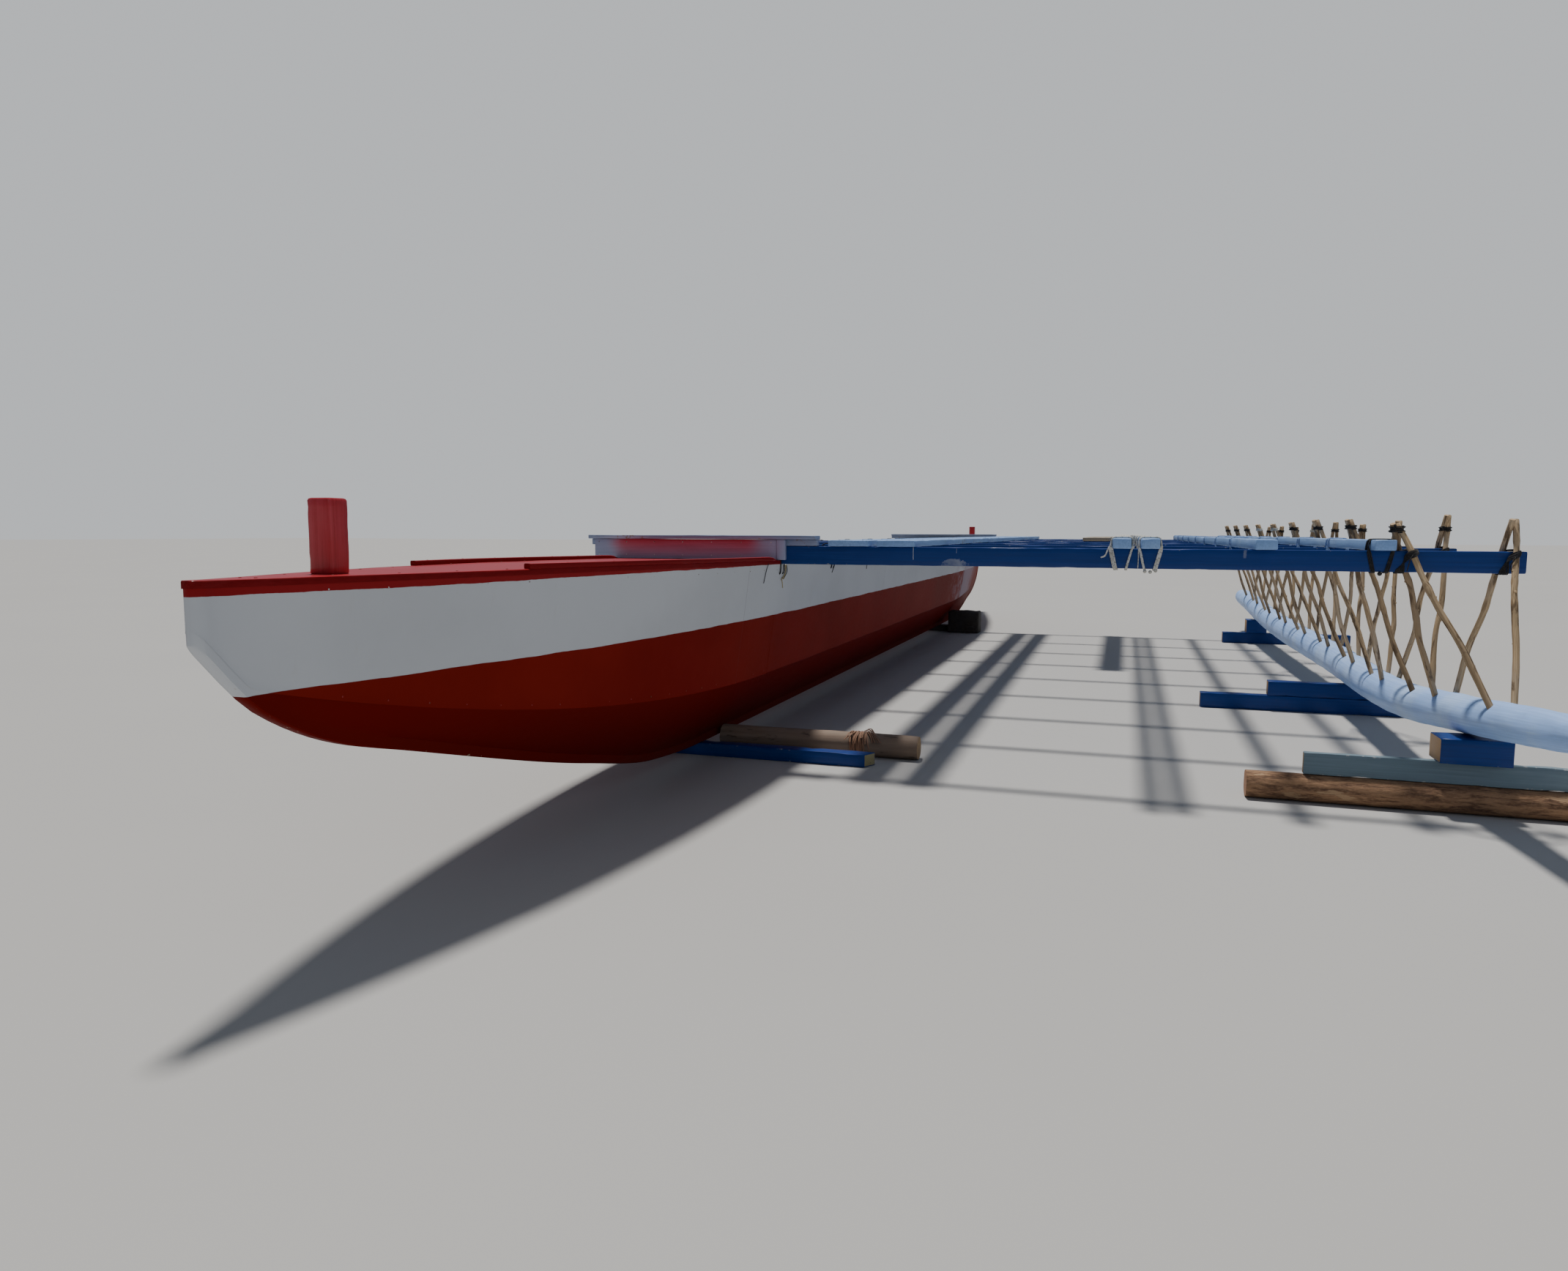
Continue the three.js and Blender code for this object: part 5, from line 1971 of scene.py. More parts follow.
    def cap_plank(self) -> None:
        """Makes the cap plank and the batten under it."""
        node = f"end_cap_{self.end.word}"
        low, high = self.beam_top + CLEAR, self.beam_top + self.batten[0]
        top, wide = high + self.cap[1], self.cap[0] / 2
        for name, at, half, z0, z1, chip in (("batten", self.cap_x[0], self.batten[1], low, high, 0.002),
                                             ("plank", self.cap_x[1], wide, high, top, 0.003)):
            middle = self.end.value * at
            piece = Timber(f"{node}_{name}", (middle - half, self.cap_y[0], z0),
                           (middle + half, self.cap_y[1], z1), Axis.Y, ease=0.004, chip=chip)
            piece.place("plank_pale_blue", CAP_PAINT, CAP_PAINT, node)

    def nails(self) -> None:
        """Makes the nail heads of the deck, rails, planking and panel."""
        sign, up = self.end.value, (0, 0, 1)
        placed = []
        for side, (start, stop) in self.rail_spans.items():
            for x in sign * np.arange(start + 0.2, stop - 0.05, self.pitches["rail"]):
                y = side.value * (self.lines.deck_half(x) + self.overhang - self.rail[0] / 2)
                placed.append(((x, y, self.deck_top(x) + self.rail[1]), up))
        for x in sign * np.arange(self.start + 0.03, self.tip - 0.15, self.pitches["deck"]):
            inner = max(self.lines.deck_half(x) - 0.045, 0.01)
            placed += [((x, side * inner, self.deck_top(x)), up) for side in (1, -1)]
        word = self.end.word
        self.heads.heads(f"deck_nails_{word}", placed, "deck_red", DECK_NAILS, DECK_NAIL, 51)
        for line, share, iron in (("chine", 0.03, DECK_NAILS), ("sheer", 0.95, HULL_NAILS)):
            placed = []
            for x in sign * np.arange(self.start + 0.05, self.tip - 0.2, self.pitches[line]):
                half, z = self.lines.side_at(x, share)
                placed += [((x, side * half, z), (0, side, 0)) for side in (1, -1)]
            self.heads.heads(f"{line}_nails_{word}", placed, "hull_white", iron, SKIN_NAIL, 53)
        face = sign * (self.start + self.panel_thick)
        across = np.linspace(self.panel_y[0] + 0.03, self.panel_y[1] - 0.09, 7)
        placed = [((face, y, z), (sign, 0, 0)) for y in across for z in (1.245, 1.325)]
        self.heads.heads(f"panel_nails_{word}", placed, "hull_white", HULL_NAILS, PANEL_NAIL, 52)

    def build(self) -> None:
        """Makes every piece."""
        self.hull()
        self.deck()
        self.panel()
        self.cap_plank()
        self.nails()


@dataclass
class Platform:
    """Crossbeams, the planks and stringers that lie on them, and the nails that hold the planks.

    Attributes:
        heads: Maker of nail heads.
        planks: Packed names of the painted planks.
        stringers: Packed names of the stringers.
        board: Packed name of the loose board.
    """

    heads: HeadMaker
    planks: tuple[str, ...] = ("platform_plank_1", "platform_plank_2")
    stringers: tuple[str, ...] = (
        "stringer_mid_1", "stringer_mid_2", "stringer_outer_1", "stringer_outer_2",
    )
    board: str = "loose_board"

    def build(self) -> None:
        """Makes every piece."""
        for number in BEAMS:
            paint = FIRST_BEAM_PAINT if number == 1 else BEAM_PAINT
            self._timber(f"crossbeam_{number}", Axis.Y, "beam_blue", paint, ease=0.006, uneven=0.0012)
        for node in self.planks:
            self._timber(node, Axis.X, "plank_pale_blue", PLANK_PAINT, ease=0.004, pitch=0.07)
        for node in self.stringers:
            self._timber(node, Axis.X, "plank_pale_blue", PLANK_PAINT, ease=0.006, pitch=0.07)
        self._timber(self.board, Axis.X, "raw_timber", BOARD_WOOD, ease=0.005, chip=0.006, uneven=0.002,
                     skew=(0.04, -0.05))
        placed = []
        for node in self.planks:
            low, high = node_box(node)
            for x in map(beam_x, BEAMS):
                for aside, share in ((-0.007, 0.2), (0.008, 0.8)):
                    placed.append(((x + aside, low[1] + share * (high[1] - low[1]), high[2]), (0, 0, 1)))
        self.heads.heads("plank_nails", placed, "plank_pale_blue", PLANK_NAILS, PLANK_NAIL, 61)

    @staticmethod
    def _timber(node: str, axis: Axis, slot: str, finish: Finish, **sizes: object) -> None:
        """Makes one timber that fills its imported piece's box."""
        timber = Timber.of_node(node, axis, **{"chip": 0.004, "uneven": 0.0014, **sizes})
        timber.place(slot, finish, finish, node)


@dataclass
class FloatLog:
    """The float: a painted log, slightly bowed outward, whose ends turn up.

    Attributes:
        maker: Maker of round bars.
        line: Places along it, then places across, heights and radii of its middle.
        lump: Height of its lumps.
        hollow: Depth of the hollows that the adze left.
        ends: Lengths at its aft and forward ends over which its rings lie closer together.
    """

    maker: RoundMaker
    line: tuple[tuple[float, float, float, float], ...] = (
        (-5.85, 4.124, 0.506, 0.038), (-5.79, 4.124, 0.502, 0.078), (-5.6, 4.126, 0.494, 0.102),
        (-4.8, 4.136, 0.470, 0.113), (-4.0, 4.144, 0.434, 0.119), (-3.0, 4.152, 0.392, 0.122),
        (-2.0, 4.164, 0.366, 0.123), (-0.8, 4.184, 0.353, 0.122), (0.6, 4.200, 0.350, 0.119),
        (2.0, 4.172, 0.352, 0.113), (3.4, 4.118, 0.406, 0.104), (4.0, 4.144, 0.456, 0.099),
        (4.8, 4.178, 0.532, 0.089), (5.5, 4.206, 0.604, 0.076), (5.8, 4.212, 0.636, 0.064),
        (5.88, 4.212, 0.645, 0.036),
    )
    lump: float = 0.008
    hollow: float = 0.0055
    ends: tuple[float, float] = (0.07, 0.09)

    def middle(self, x: Array) -> list[Array]:
        """Place across and height of its middle, and its radius."""
        places, *columns = zip(*self.line)
        return [smooth_curve(places, column)(x) for column in columns]

    def build(self) -> None:
        """Makes the log."""
        first, last = self.line[0][0], self.line[-1][0]
        aft, forward = self.ends
        x = np.concatenate([
            first + aft * np.linspace(0, 1, 8)[:-1] ** 1.3,
            np.linspace(first + aft, last - forward, 380),
            last - forward * np.linspace(1, 0, 8)[1:] ** 1.3,
        ])
        y, z, radius = self.middle(x)
        self.maker.bars("float_log", [Line(np.stack([x, y, z], -1), radius)], "float_sky_blue",
                        (FLOAT_PAINT, FLOAT_PAINT), "float", sides=52, lump=self.lump, lump_length=0.35,
                        hollow=self.hollow, seed=7)


@dataclass(frozen=True)
class StrutRow:
    """One row of struts.

    Attributes:
        word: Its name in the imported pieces.
        cross_y: Where its sticks cross, across the canoe.
        cross_z: Height at which they cross.
        foot: Where their feet stand, across from the middle of the float.
    """

    word: str
    cross_y: float
    cross_z: float
    foot: float


@dataclass
class Strut:
    """Two crossed sticks on one crossbeam, with the cords that hold them.

    Attributes:
        maker: Maker of round bars.
        heads: Maker of knots.
        log: The float that they stand in.
        row: Row that it belongs to.
        number: Crossbeam, from 1 at the bow.
        splay: Distance of a foot from the crossbeam.
        foot_radius: Radius of a stick at its foot.
        top_radius: Radius at its top.
        over: How far a stick runs on past the crossing.
        buried: How far its foot is sunk in the float.
        sway: How far a stick bends.
        kink: How far it strays on the way.
        twigs: How many twigs each stick had.
        swelling: Rise and half-length of the swellings where they were.
        cord: Radius of the cord.
        turns: Turns of cord round beam and sticks.
        crossing_turns: Turns round the crossing.
        crossing_half: Half the width and depth of the crossed sticks.
        bulk: How much thicker the cord round the crossing is.
        pale: Whether the cord is a pale one.
        drop: How far its crossing lies below the row's.
    """

    maker: RoundMaker
    heads: HeadMaker
    log: FloatLog
    row: StrutRow
    number: int
    splay: float = 0.368
    foot_radius: float = 0.015
    top_radius: float = 0.0135
    over: float = 0.062
    buried: float = 0.024
    sway: float = 0.009
    kink: float = 0.0055
    twigs: int = 3
    swelling: tuple[float, float] = (0.0022, 0.016)
    cord: float = 0.0026
    turns: int = 9
    crossing_turns: int = 5
    crossing_half: tuple[float, float] = (0.0165, 0.0262)
    bulk: float = 1.0
    pale: bool = False
    drop: float = 0.0

    @property
    def cross_z(self) -> float:
        """Height of the crossing."""
        return self.row.cross_z - self.drop

    @property
    def seed(self) -> int:
        """Seed of everything random on this strut."""
        return 100 + self.number * 2 + (self.row.word == "outer")

    def stick(self, sign: int) -> Line:
        """Centre line of the stick whose foot is towards the bow, for +1, or the stern, for -1.

        Args:
            sign: Which stick.

        Returns:
            The line, with a radius at each point.
        """
        x = beam_x(self.number)
        foot_x = x + sign * self.splay
        y, z, radius = (float(n) for n in self.log.middle(np.array(foot_x)))
        foot = np.array([foot_x, y + self.row.foot, z + math.sqrt(radius**2 - self.row.foot**2)])
        crossing = np.array([x, self.row.cross_y + sign * self.top_radius * 0.9, self.cross_z])
        run = crossing - foot
        length = float(np.linalg.norm(run))
        toward = run / length
        bend = (-1 if self.number % 2 else 1) * -sign
        marks = [-self.buried / length, 0.3, 0.62, 0.86, 1 + self.over / length]
        sway = np.array([0, 1, -0.8, 0.2, 0]) * self.sway * bend
        given = [foot + run * t + np.array([-toward[2] * s * 0.4, s, 0]) for t, s in zip(marks, sway)]
        points = smooth_path(given, 0.03)
        kinks = np.sin(np.linspace(0, math.pi, len(points))) * self.kink
        points[:, 1] += kinks * ripple(points, 0.30, self.seed * 5 + sign)
        points[:, 0] += kinks * ripple(points, 0.34, self.seed * 5 + 3 + sign)
        share = np.linspace(0, 1, len(points))
        rng = np.random.default_rng(self.seed * 3 + sign)
        radii = self.foot_radius + (self.top_radius - self.foot_radius) * share
        radii = radii * (1 + 0.05 * ripple(points, 0.22, self.seed + 7 * sign))
        for at in rng.uniform(0.08, 0.92, self.twigs):
            radii += self.swelling[0] * np.exp(-((share - at) * length / self.swelling[1]) ** 2)
        ends = np.array([points[0], points[-1]])
        points = np.concatenate([ends[:1], points[1:-1], ends[1:] - toward * 0.002, ends[1:]])
        radii = np.append(np.append(radii[:-1], radii[-1]), radii[-1] * 0.86)
        return Line(points, radii)

    def sticks(self) -> None:
        """Makes the two sticks and their knots."""
        lines = [self.stick(sign) for sign in (1, -1)]
        node = f"strut_{self.row.word}_{self.number}"
        self.maker.bars(f"{node}_sticks", lines, "stick_wood", (STICK_WOOD, STICK_CUT), node, lump=0.003,
                        lump_length=0.05, seed=self.seed)
        rng = np.random.default_rng(self.seed)
        placed = []
        for line in lines:
            for _ in range(self.twigs):
                n = int(rng.uniform(4, len(line.points) - 8))
                run = line.points[n + 1] - line.points[n]
                out = np.cross(run, rng.normal(size=3))
                out /= np.linalg.norm(out)
                at = line.points[n] + out * line.radius[n] * 0.86
                placed.append((at, out + run / np.linalg.norm(run) * 0.5))
        self.heads.heads(f"{node}_knots", placed, "stick_wood", STICK_WOOD, STICK_KNOT, self.seed, 0.3)

    def _at(self, sign: int, z: float) -> Array:
        """Middle of a stick at a height.

        Args:
            sign: Which stick.
            z: The height.

        Returns:
            The point.
        """
        points = self.stick(sign).points
        order = np.argsort(points[:, 2])
        return np.array([np.interp(z, points[order, 2], points[order, n]) for n in range(3)])

    def _round_beam(self, rng: np.random.Generator) -> list[Line]:
        """Turns that hold both sticks to the crossbeam, drawn together under it.

        Args:
            rng: Random numbers that move each turn a little.

        Returns:
            One line for each turn.
        """
        low, high = node_box(f"crossbeam_{self.number}")
        x0, half, r = beam_x(self.number), (high[0] - low[0]) / 2, self.cord
        band, below = self.foot_radius + r, self._at(1, high[2])[1]
        lines = []
        for n in range(self.turns):
            share = n / (self.turns - 1)
            top = high[2] - 0.004 - 0.028 * share
            fan = below - 0.021 - 0.036 * share
            legs = []
            for sign in (1, -1):
                middle = self._at(sign, top)
                reach, y, face = middle[0] - x0, middle[1], x0 + sign * (half + r)
                leg = [
                    (x0 + reach * 0.55, y + band * 0.9, high[2] + r + 0.004 * share),
                    (x0 + reach, y + band, high[2] + r - 0.016 * share),
                    (x0 + reach + sign * band, y + 0.002, top + 0.004),
                    (x0 + reach + sign * band * 0.4, y - band, top - 0.006),
                    (face, y - band - 0.006 - 0.008 * share, top - 0.026),
                    (face, fan, low[2] + 0.010),
                    (x0 + sign * (half - 0.006), fan - 0.001, low[2] - r),
                ]
                stray = (0.0004, 0.0011, 0.0006)
                legs.append([tuple(a + rng.normal() * by for a, by in zip(point, stray)) for point in leg])
            lines.append(loop(legs[0] + legs[1][::-1], r, 0.009))
        return lines

    def _round_crossing(self) -> list[Line]:
        """Turns that hold the sticks to each other where they cross.

        Returns:
            The coil and the two bands over it.
        """
        x0, r = beam_x(self.number), self.cord * self.bulk
        angle = np.arange(0, 2 * math.pi * self.crossing_turns, 0.42)
        rise = (angle / angle[-1] - 0.5) * self.crossing_turns * 2.1 * r
        grip = 1 + 0.05 * np.sin(angle * 0.37)
        wide, deep = (half + r for half in self.crossing_half)
        middle = np.array([x0, self.row.cross_y, self.cross_z])
        coil = np.stack([(wide + np.abs(rise) * 0.38) * np.cos(angle) * grip, deep * np.sin(angle) * grip,
                         rise + 0.0012 * np.sin(angle)], -1)
        wrap = np.linspace(0, 2 * math.pi, 20, endpoint=False)
        lines = [Line(middle + coil, r)]
        for sign in (1, -1):
            band = np.stack([(wide + 1.6 * r) * np.cos(wrap), (deep + 1.6 * r) * np.sin(wrap),
                             sign * 0.6 * abs(rise[0]) * np.sin(wrap)], -1)
            lines.append(Line(middle + band, r, closed=True))
        return lines

    def lashing(self) -> None:
        """Makes the cords of the strut, and their loose end."""
        rng = np.random.default_rng(self.seed + 500)
        lines = self._round_beam(rng)
        if self.crossing_turns:
            lines += self._round_crossing()
        high = node_box(f"crossbeam_{self.number}")[1][2]
        start = self._at(1, high - 0.02) + np.array([self.foot_radius + self.cord, -0.004, 0])
        fall = [(0, 0, 0), (0.008, -0.012, -0.02), (0.003, -0.02 + rng.normal() * 0.007, -0.05),
                (0.004, -0.016 + rng.normal() * 0.01, -0.065 - rng.uniform(0, 0.02))]
        lines.append(Line(smooth_path(start + np.array(fall), 0.006), self.cord))
        finish = WHITE_CORD if self.pale else BLACK_CORD
        name = f"strut_{self.row.word}_{self.number}_lashing"
        self.maker.bars(name, lines, "cord_black", (finish, finish), sides=6, seed=self.seed)


@dataclass
class Struts:
    """Both rows of struts.

    Attributes:
        maker: Maker of round bars.
        heads: Maker of knots.
        log: The float.
        rows: The two rows.
        over: How far some struts' sticks run on past the crossing, by row and crossbeam.
        pale: Struts lashed with pale cord.
        first: What differs on the struts of the first crossbeam.
    """

    maker: RoundMaker
    heads: HeadMaker
    log: FloatLog
    rows: tuple[StrutRow, ...] = (
        StrutRow("inner", 3.776, 1.428, -0.06), StrutRow("outer", 4.268, 1.418, 0.035),
    )
    over: dict[tuple[str, int], float] = field(default_factory=lambda: {
        ("inner", 1): 0.030, ("outer", 1): 0.045, ("outer", 2): 0.086,
    })
    pale: tuple[tuple[str, int], ...] = (("inner", 5), ("inner", 6), ("outer", 6))
    first: dict[str, dict[str, float]] = field(default_factory=lambda: {
        "inner": {"crossing_turns": 5, "bulk": 1.35, "turns": 11, "drop": 0.016},
        "outer": {"crossing_turns": 0},
    })

    def build(self) -> None:
        """Makes every strut with its lashing."""
        rng = np.random.default_rng(17)
        for row in self.rows:
            for number in BEAMS:
                key = (row.word, number)
                over = self.over.get(key, 0.06 + 0.016 * float(rng.uniform(-1, 1)))
                strut = Strut(self.maker, self.heads, self.log, row, number, over=over,
                              pale=key in self.pale)
                if number == 1:
                    strut = replace(strut, **self.first[row.word])
                strut.sticks()
                strut.lashing()


@dataclass
class Ties:
    """Ropes that hold the stringers to the crossbeams, and the crossbeams to the hull.

    Attributes:
        maker: Maker of round bars.
        lines: The hull's lines.
        rope: Radius of the stringers' rope.
        cord: Radius of the thinner cord.
        inwale: Depth of the inwale's underside below the sheer.
        hull_turns: Turns of cord that hold each crossbeam to one side.
    """

    maker: RoundMaker
    lines: HullLines
    rope: float = 0.0046
    cord: float = 0.0028
    inwale: float = 0.058
    hull_turns: int = 4

    def _round_stringer(self, number: int, node: str, radius: float, turns: int,
                        spread: tuple[float, float]) -> list[Line]:
        """Turns over a stringer and under its crossbeam, their legs drawn together below.

        Args:
            number: The crossbeam.
            node: The stringer.
            radius: Radius of the rope.
            turns: How many turns lie side by side.
            spread: Spacing of the turns on the lee and the float side, in thicknesses of the rope.

        Returns:
            One line for each turn.
        """
        rng = np.random.default_rng(700 + number)
        beam_low, beam_high = node_box(f"crossbeam_{number}")
        low, high = node_box(node)
        x0, half = beam_x(number), (beam_high[0] - beam_low[0]) / 2 + radius
        y0, reach = (low[1] + high[1]) / 2, (high[1] - low[1]) / 2 + radius
        lines = []
        for turn in range(turns):
            gap = radius * 2.1 * turn
            ring = []
            for along, across in ((1, -1), (1, 1), (-1, 1), (-1, -1)):
                wide, aside = reach + 0.0006, gap * spread[across > 0]
                legs = [
                    (x0 + along * (half * 0.5), reach * 0.42 + aside, beam_low[2] - radius),
                    (x0 + along * half, reach * 0.48 + aside, beam_low[2] + 0.006),
                    (x0 + along * half, reach * 0.9 + aside, beam_high[2] - 0.012),
                    (x0 + along * (half * 0.85 + gap * 0.5), wide + aside * 0.4, low[2] + 0.012),
                    (x0 + along * (half * 0.55 + gap), wide, high[2] - 0.008),
                    (x0 + along * (half * 0.45 + gap), wide - 0.010, high[2] + radius * 0.9),
                ]
                legs = [(a, y0 + across * b + rng.normal() * 0.001, c) for a, b, c in legs]
                ring += legs if along != across else legs[::-1]
            lines.append(loop(ring, radius))
        return lines

    def _knot(self, at: Sequence[float], radius: float) -> list[Line]:
        """Small knot of three loops lying in different directions.

        Args:
            at: Its middle.
            radius: Radius of the cord.

        Returns:
            The loops.
        """
        turn = np.linspace(0, 2 * math.pi, 12, endpoint=False)
        ring = np.stack([np.cos(turn), np.sin(turn), 0 * turn], -1) * radius * 1.5
        return [Line(ring[:, order] + np.array(at), radius, closed=True)
                for order in ([0, 1, 2], [2, 0, 1], [1, 2, 0])]

    def _loose_ends(self, node: str, radius: float) -> list[Line]:
        """Curls, hanging ends and knots at a stringer's tie on the first crossbeam.

        Args:
            node: The stringer.
            radius: Radius of its rope.

        Returns:
            Their lines.
        """
        if node == "stringer_mid_1":
            curl = [(4.437, 2.425, 1.338), (4.442, 2.407, 1.301),
                    (4.446, 2.393, 1.266), (4.446, 2.372, 1.256)]
            return [Line(smooth_path(curl, 0.006), radius * 0.8)] + self._knot((4.44, 2.532, 1.314), radius)
        if node == "stringer_mid_2":
            thin = [(4.43, 2.562, 1.31), (4.4295, 2.563, 1.25), (4.4295, 2.562, 1.199)]
            lines = [Line(smooth_path(thin, 0.02), 0.0024)] + self._knot((4.44, 2.674, 1.314), radius)
            for y, z in ((2.652, 1.188), (2.625, 1.181), (2.598, 1.184)):
                lines += self._knot((4.425, y, z), radius * 0.85)
            return lines
        return self._knot((4.428, 3.706, 1.189), radius * 1.6)

    def stringers(self) -> None:
        """Makes the ties of every stringer on every crossbeam, and the loose ends on the first."""
        for node, finish, radius, turns, spread in (
                ("stringer_mid_1", WHITE_CORD, self.rope, 3, (0.8, 0.2)),
                ("stringer_mid_2", WHITE_CORD, self.rope, 3, (0.2, 0.7)),
                ("stringer_outer_2", BLACK_CORD, self.cord, 4, (0.8, 0.8)),
                ("stringer_outer_1", PAINTED_CORD, self.cord, 2, (1, 1))):
            slot = "cord_natural" if finish is WHITE_CORD else "cord_black"
            first, rest = ([line for number in numbers
                            for line in self._round_stringer(number, node, radius, turns, spread)]
                           for numbers in (BEAMS[:1], BEAMS[1:]))
            if node != "stringer_outer_1":
                first += self._loose_ends(node, radius)
                self.maker.bars(f"{node}_ties_first", first, slot, (finish, finish), sides=7)
            painted = PAINTED_CORD if finish is BLACK_CORD else finish
            self.maker.bars(f"{node}_ties", rest, slot, (painted, painted), sides=7)

    def _tail(self, fall: Sequence[tuple[float, float]]) -> Line:
        """Loose end down the side, through places along the canoe and heights.

        Args:
            fall: The places and heights, from the top.

        Returns:
            Its line.
        """
        x, z = np.array(fall).T
        low, high = self.lines.chine_z(x), self.lines.sheer_z(x)
        y, _ = self.lines.side_at(x, np.clip((z - low) / (high - low), 0, 1))
        clear = np.where(z > 1.195, 0.008, 0.001) + self.cord
        return Line(smooth_path(np.stack([x, y + clear, z], -1), 0.008), self.cord * 0.8)

    def tails(self) -> None:
        """Makes the loose ends that hang down the float side of the hull by the first three beams."""
        black = [self._tail(fall) for fall in (
            ((4.652, 1.207), (4.657, 1.175), (4.668, 1.135), (4.678, 1.092)),
            ((4.330, 1.190), (4.300, 1.150), (4.339, 1.112)),
            ((3.238, 1.187), (3.246, 1.155), (3.289, 1.105)),
            ((2.270, 1.187), (2.268, 1.140), (2.273, 1.097)))]
        yellow = [self._tail(fall) for fall in (
            ((4.350, 1.190), (4.334, 1.150), (4.352, 1.125),
             (4.380, 1.109), (4.360, 1.080), (4.341, 1.050)),
            ((4.338, 1.190), (4.326, 1.155), (4.345, 1.120), (4.392, 1.100)))]
        yellow += self._knot((4.380, 0.546, 1.109), self.cord * 0.8)
        self.maker.bars("hull_tails_black", black, "cord_black", (BLACK_CORD, BLACK_CORD), sides=6)
        self.maker.bars("hull_tails_yellow", yellow, "cord_natural", (NATURAL_CORD, NATURAL_CORD), sides=6)

    def to_hull(self) -> None:
        """Makes the cords that cross each beam, pass through the side and go round the inwale."""
        for side in Side:
            lines = []
            for number in BEAMS:
                low, high = node_box(f"crossbeam_{number}")
                x0, half, r = beam_x(number), (high[0] - low[0]) / 2 + self.cord, self.cord
                sheer, outer = float(self.lines.sheer_z(x0)), float(self.lines.deck_half(x0))
                for turn in range(self.hull_turns):
                    cross = 1 if turn % 2 else -1
                    shift = 0.006 * (turn // 2)
                    x_out, x_in = x0 + cross * (half + shift), x0 - cross * (half + shift)
                    ring = [
                        (x_out, outer - 0.006 + r, sheer - self.inwale + shift),
                        (x_out, outer + r, sheer - 0.02),
                        (x_out, outer - 0.002 + r, high[2] - 0.01),
                        (x0 + cross * half * 0.6, outer - 0.016, high[2] + r),
                        (x0 - cross * half * 0.6, outer - 0.052, high[2] + r),
                        (x_in, outer - 0.066, high[2] - 0.01),
                        (x_in, outer - 0.068, sheer - 0.02),
                        (x_in, outer - 0.066, sheer - self.inwale - 0.002),
                        (x0, outer - 0.042, sheer - self.inwale - r - 0.004 - shift),
                    ]
                    lines.append(loop([(a, side.value * b, c) for a, b, c in ring], r))
            self.maker.bars(f"beam_ties_{side.word}", lines, "cord_black", (BLACK_CORD, BLACK_CORD),
                            sides=6)

    def build(self) -> None:
        """Makes every tie."""
        self.stringers()
        self.tails()
        self.to_hull()


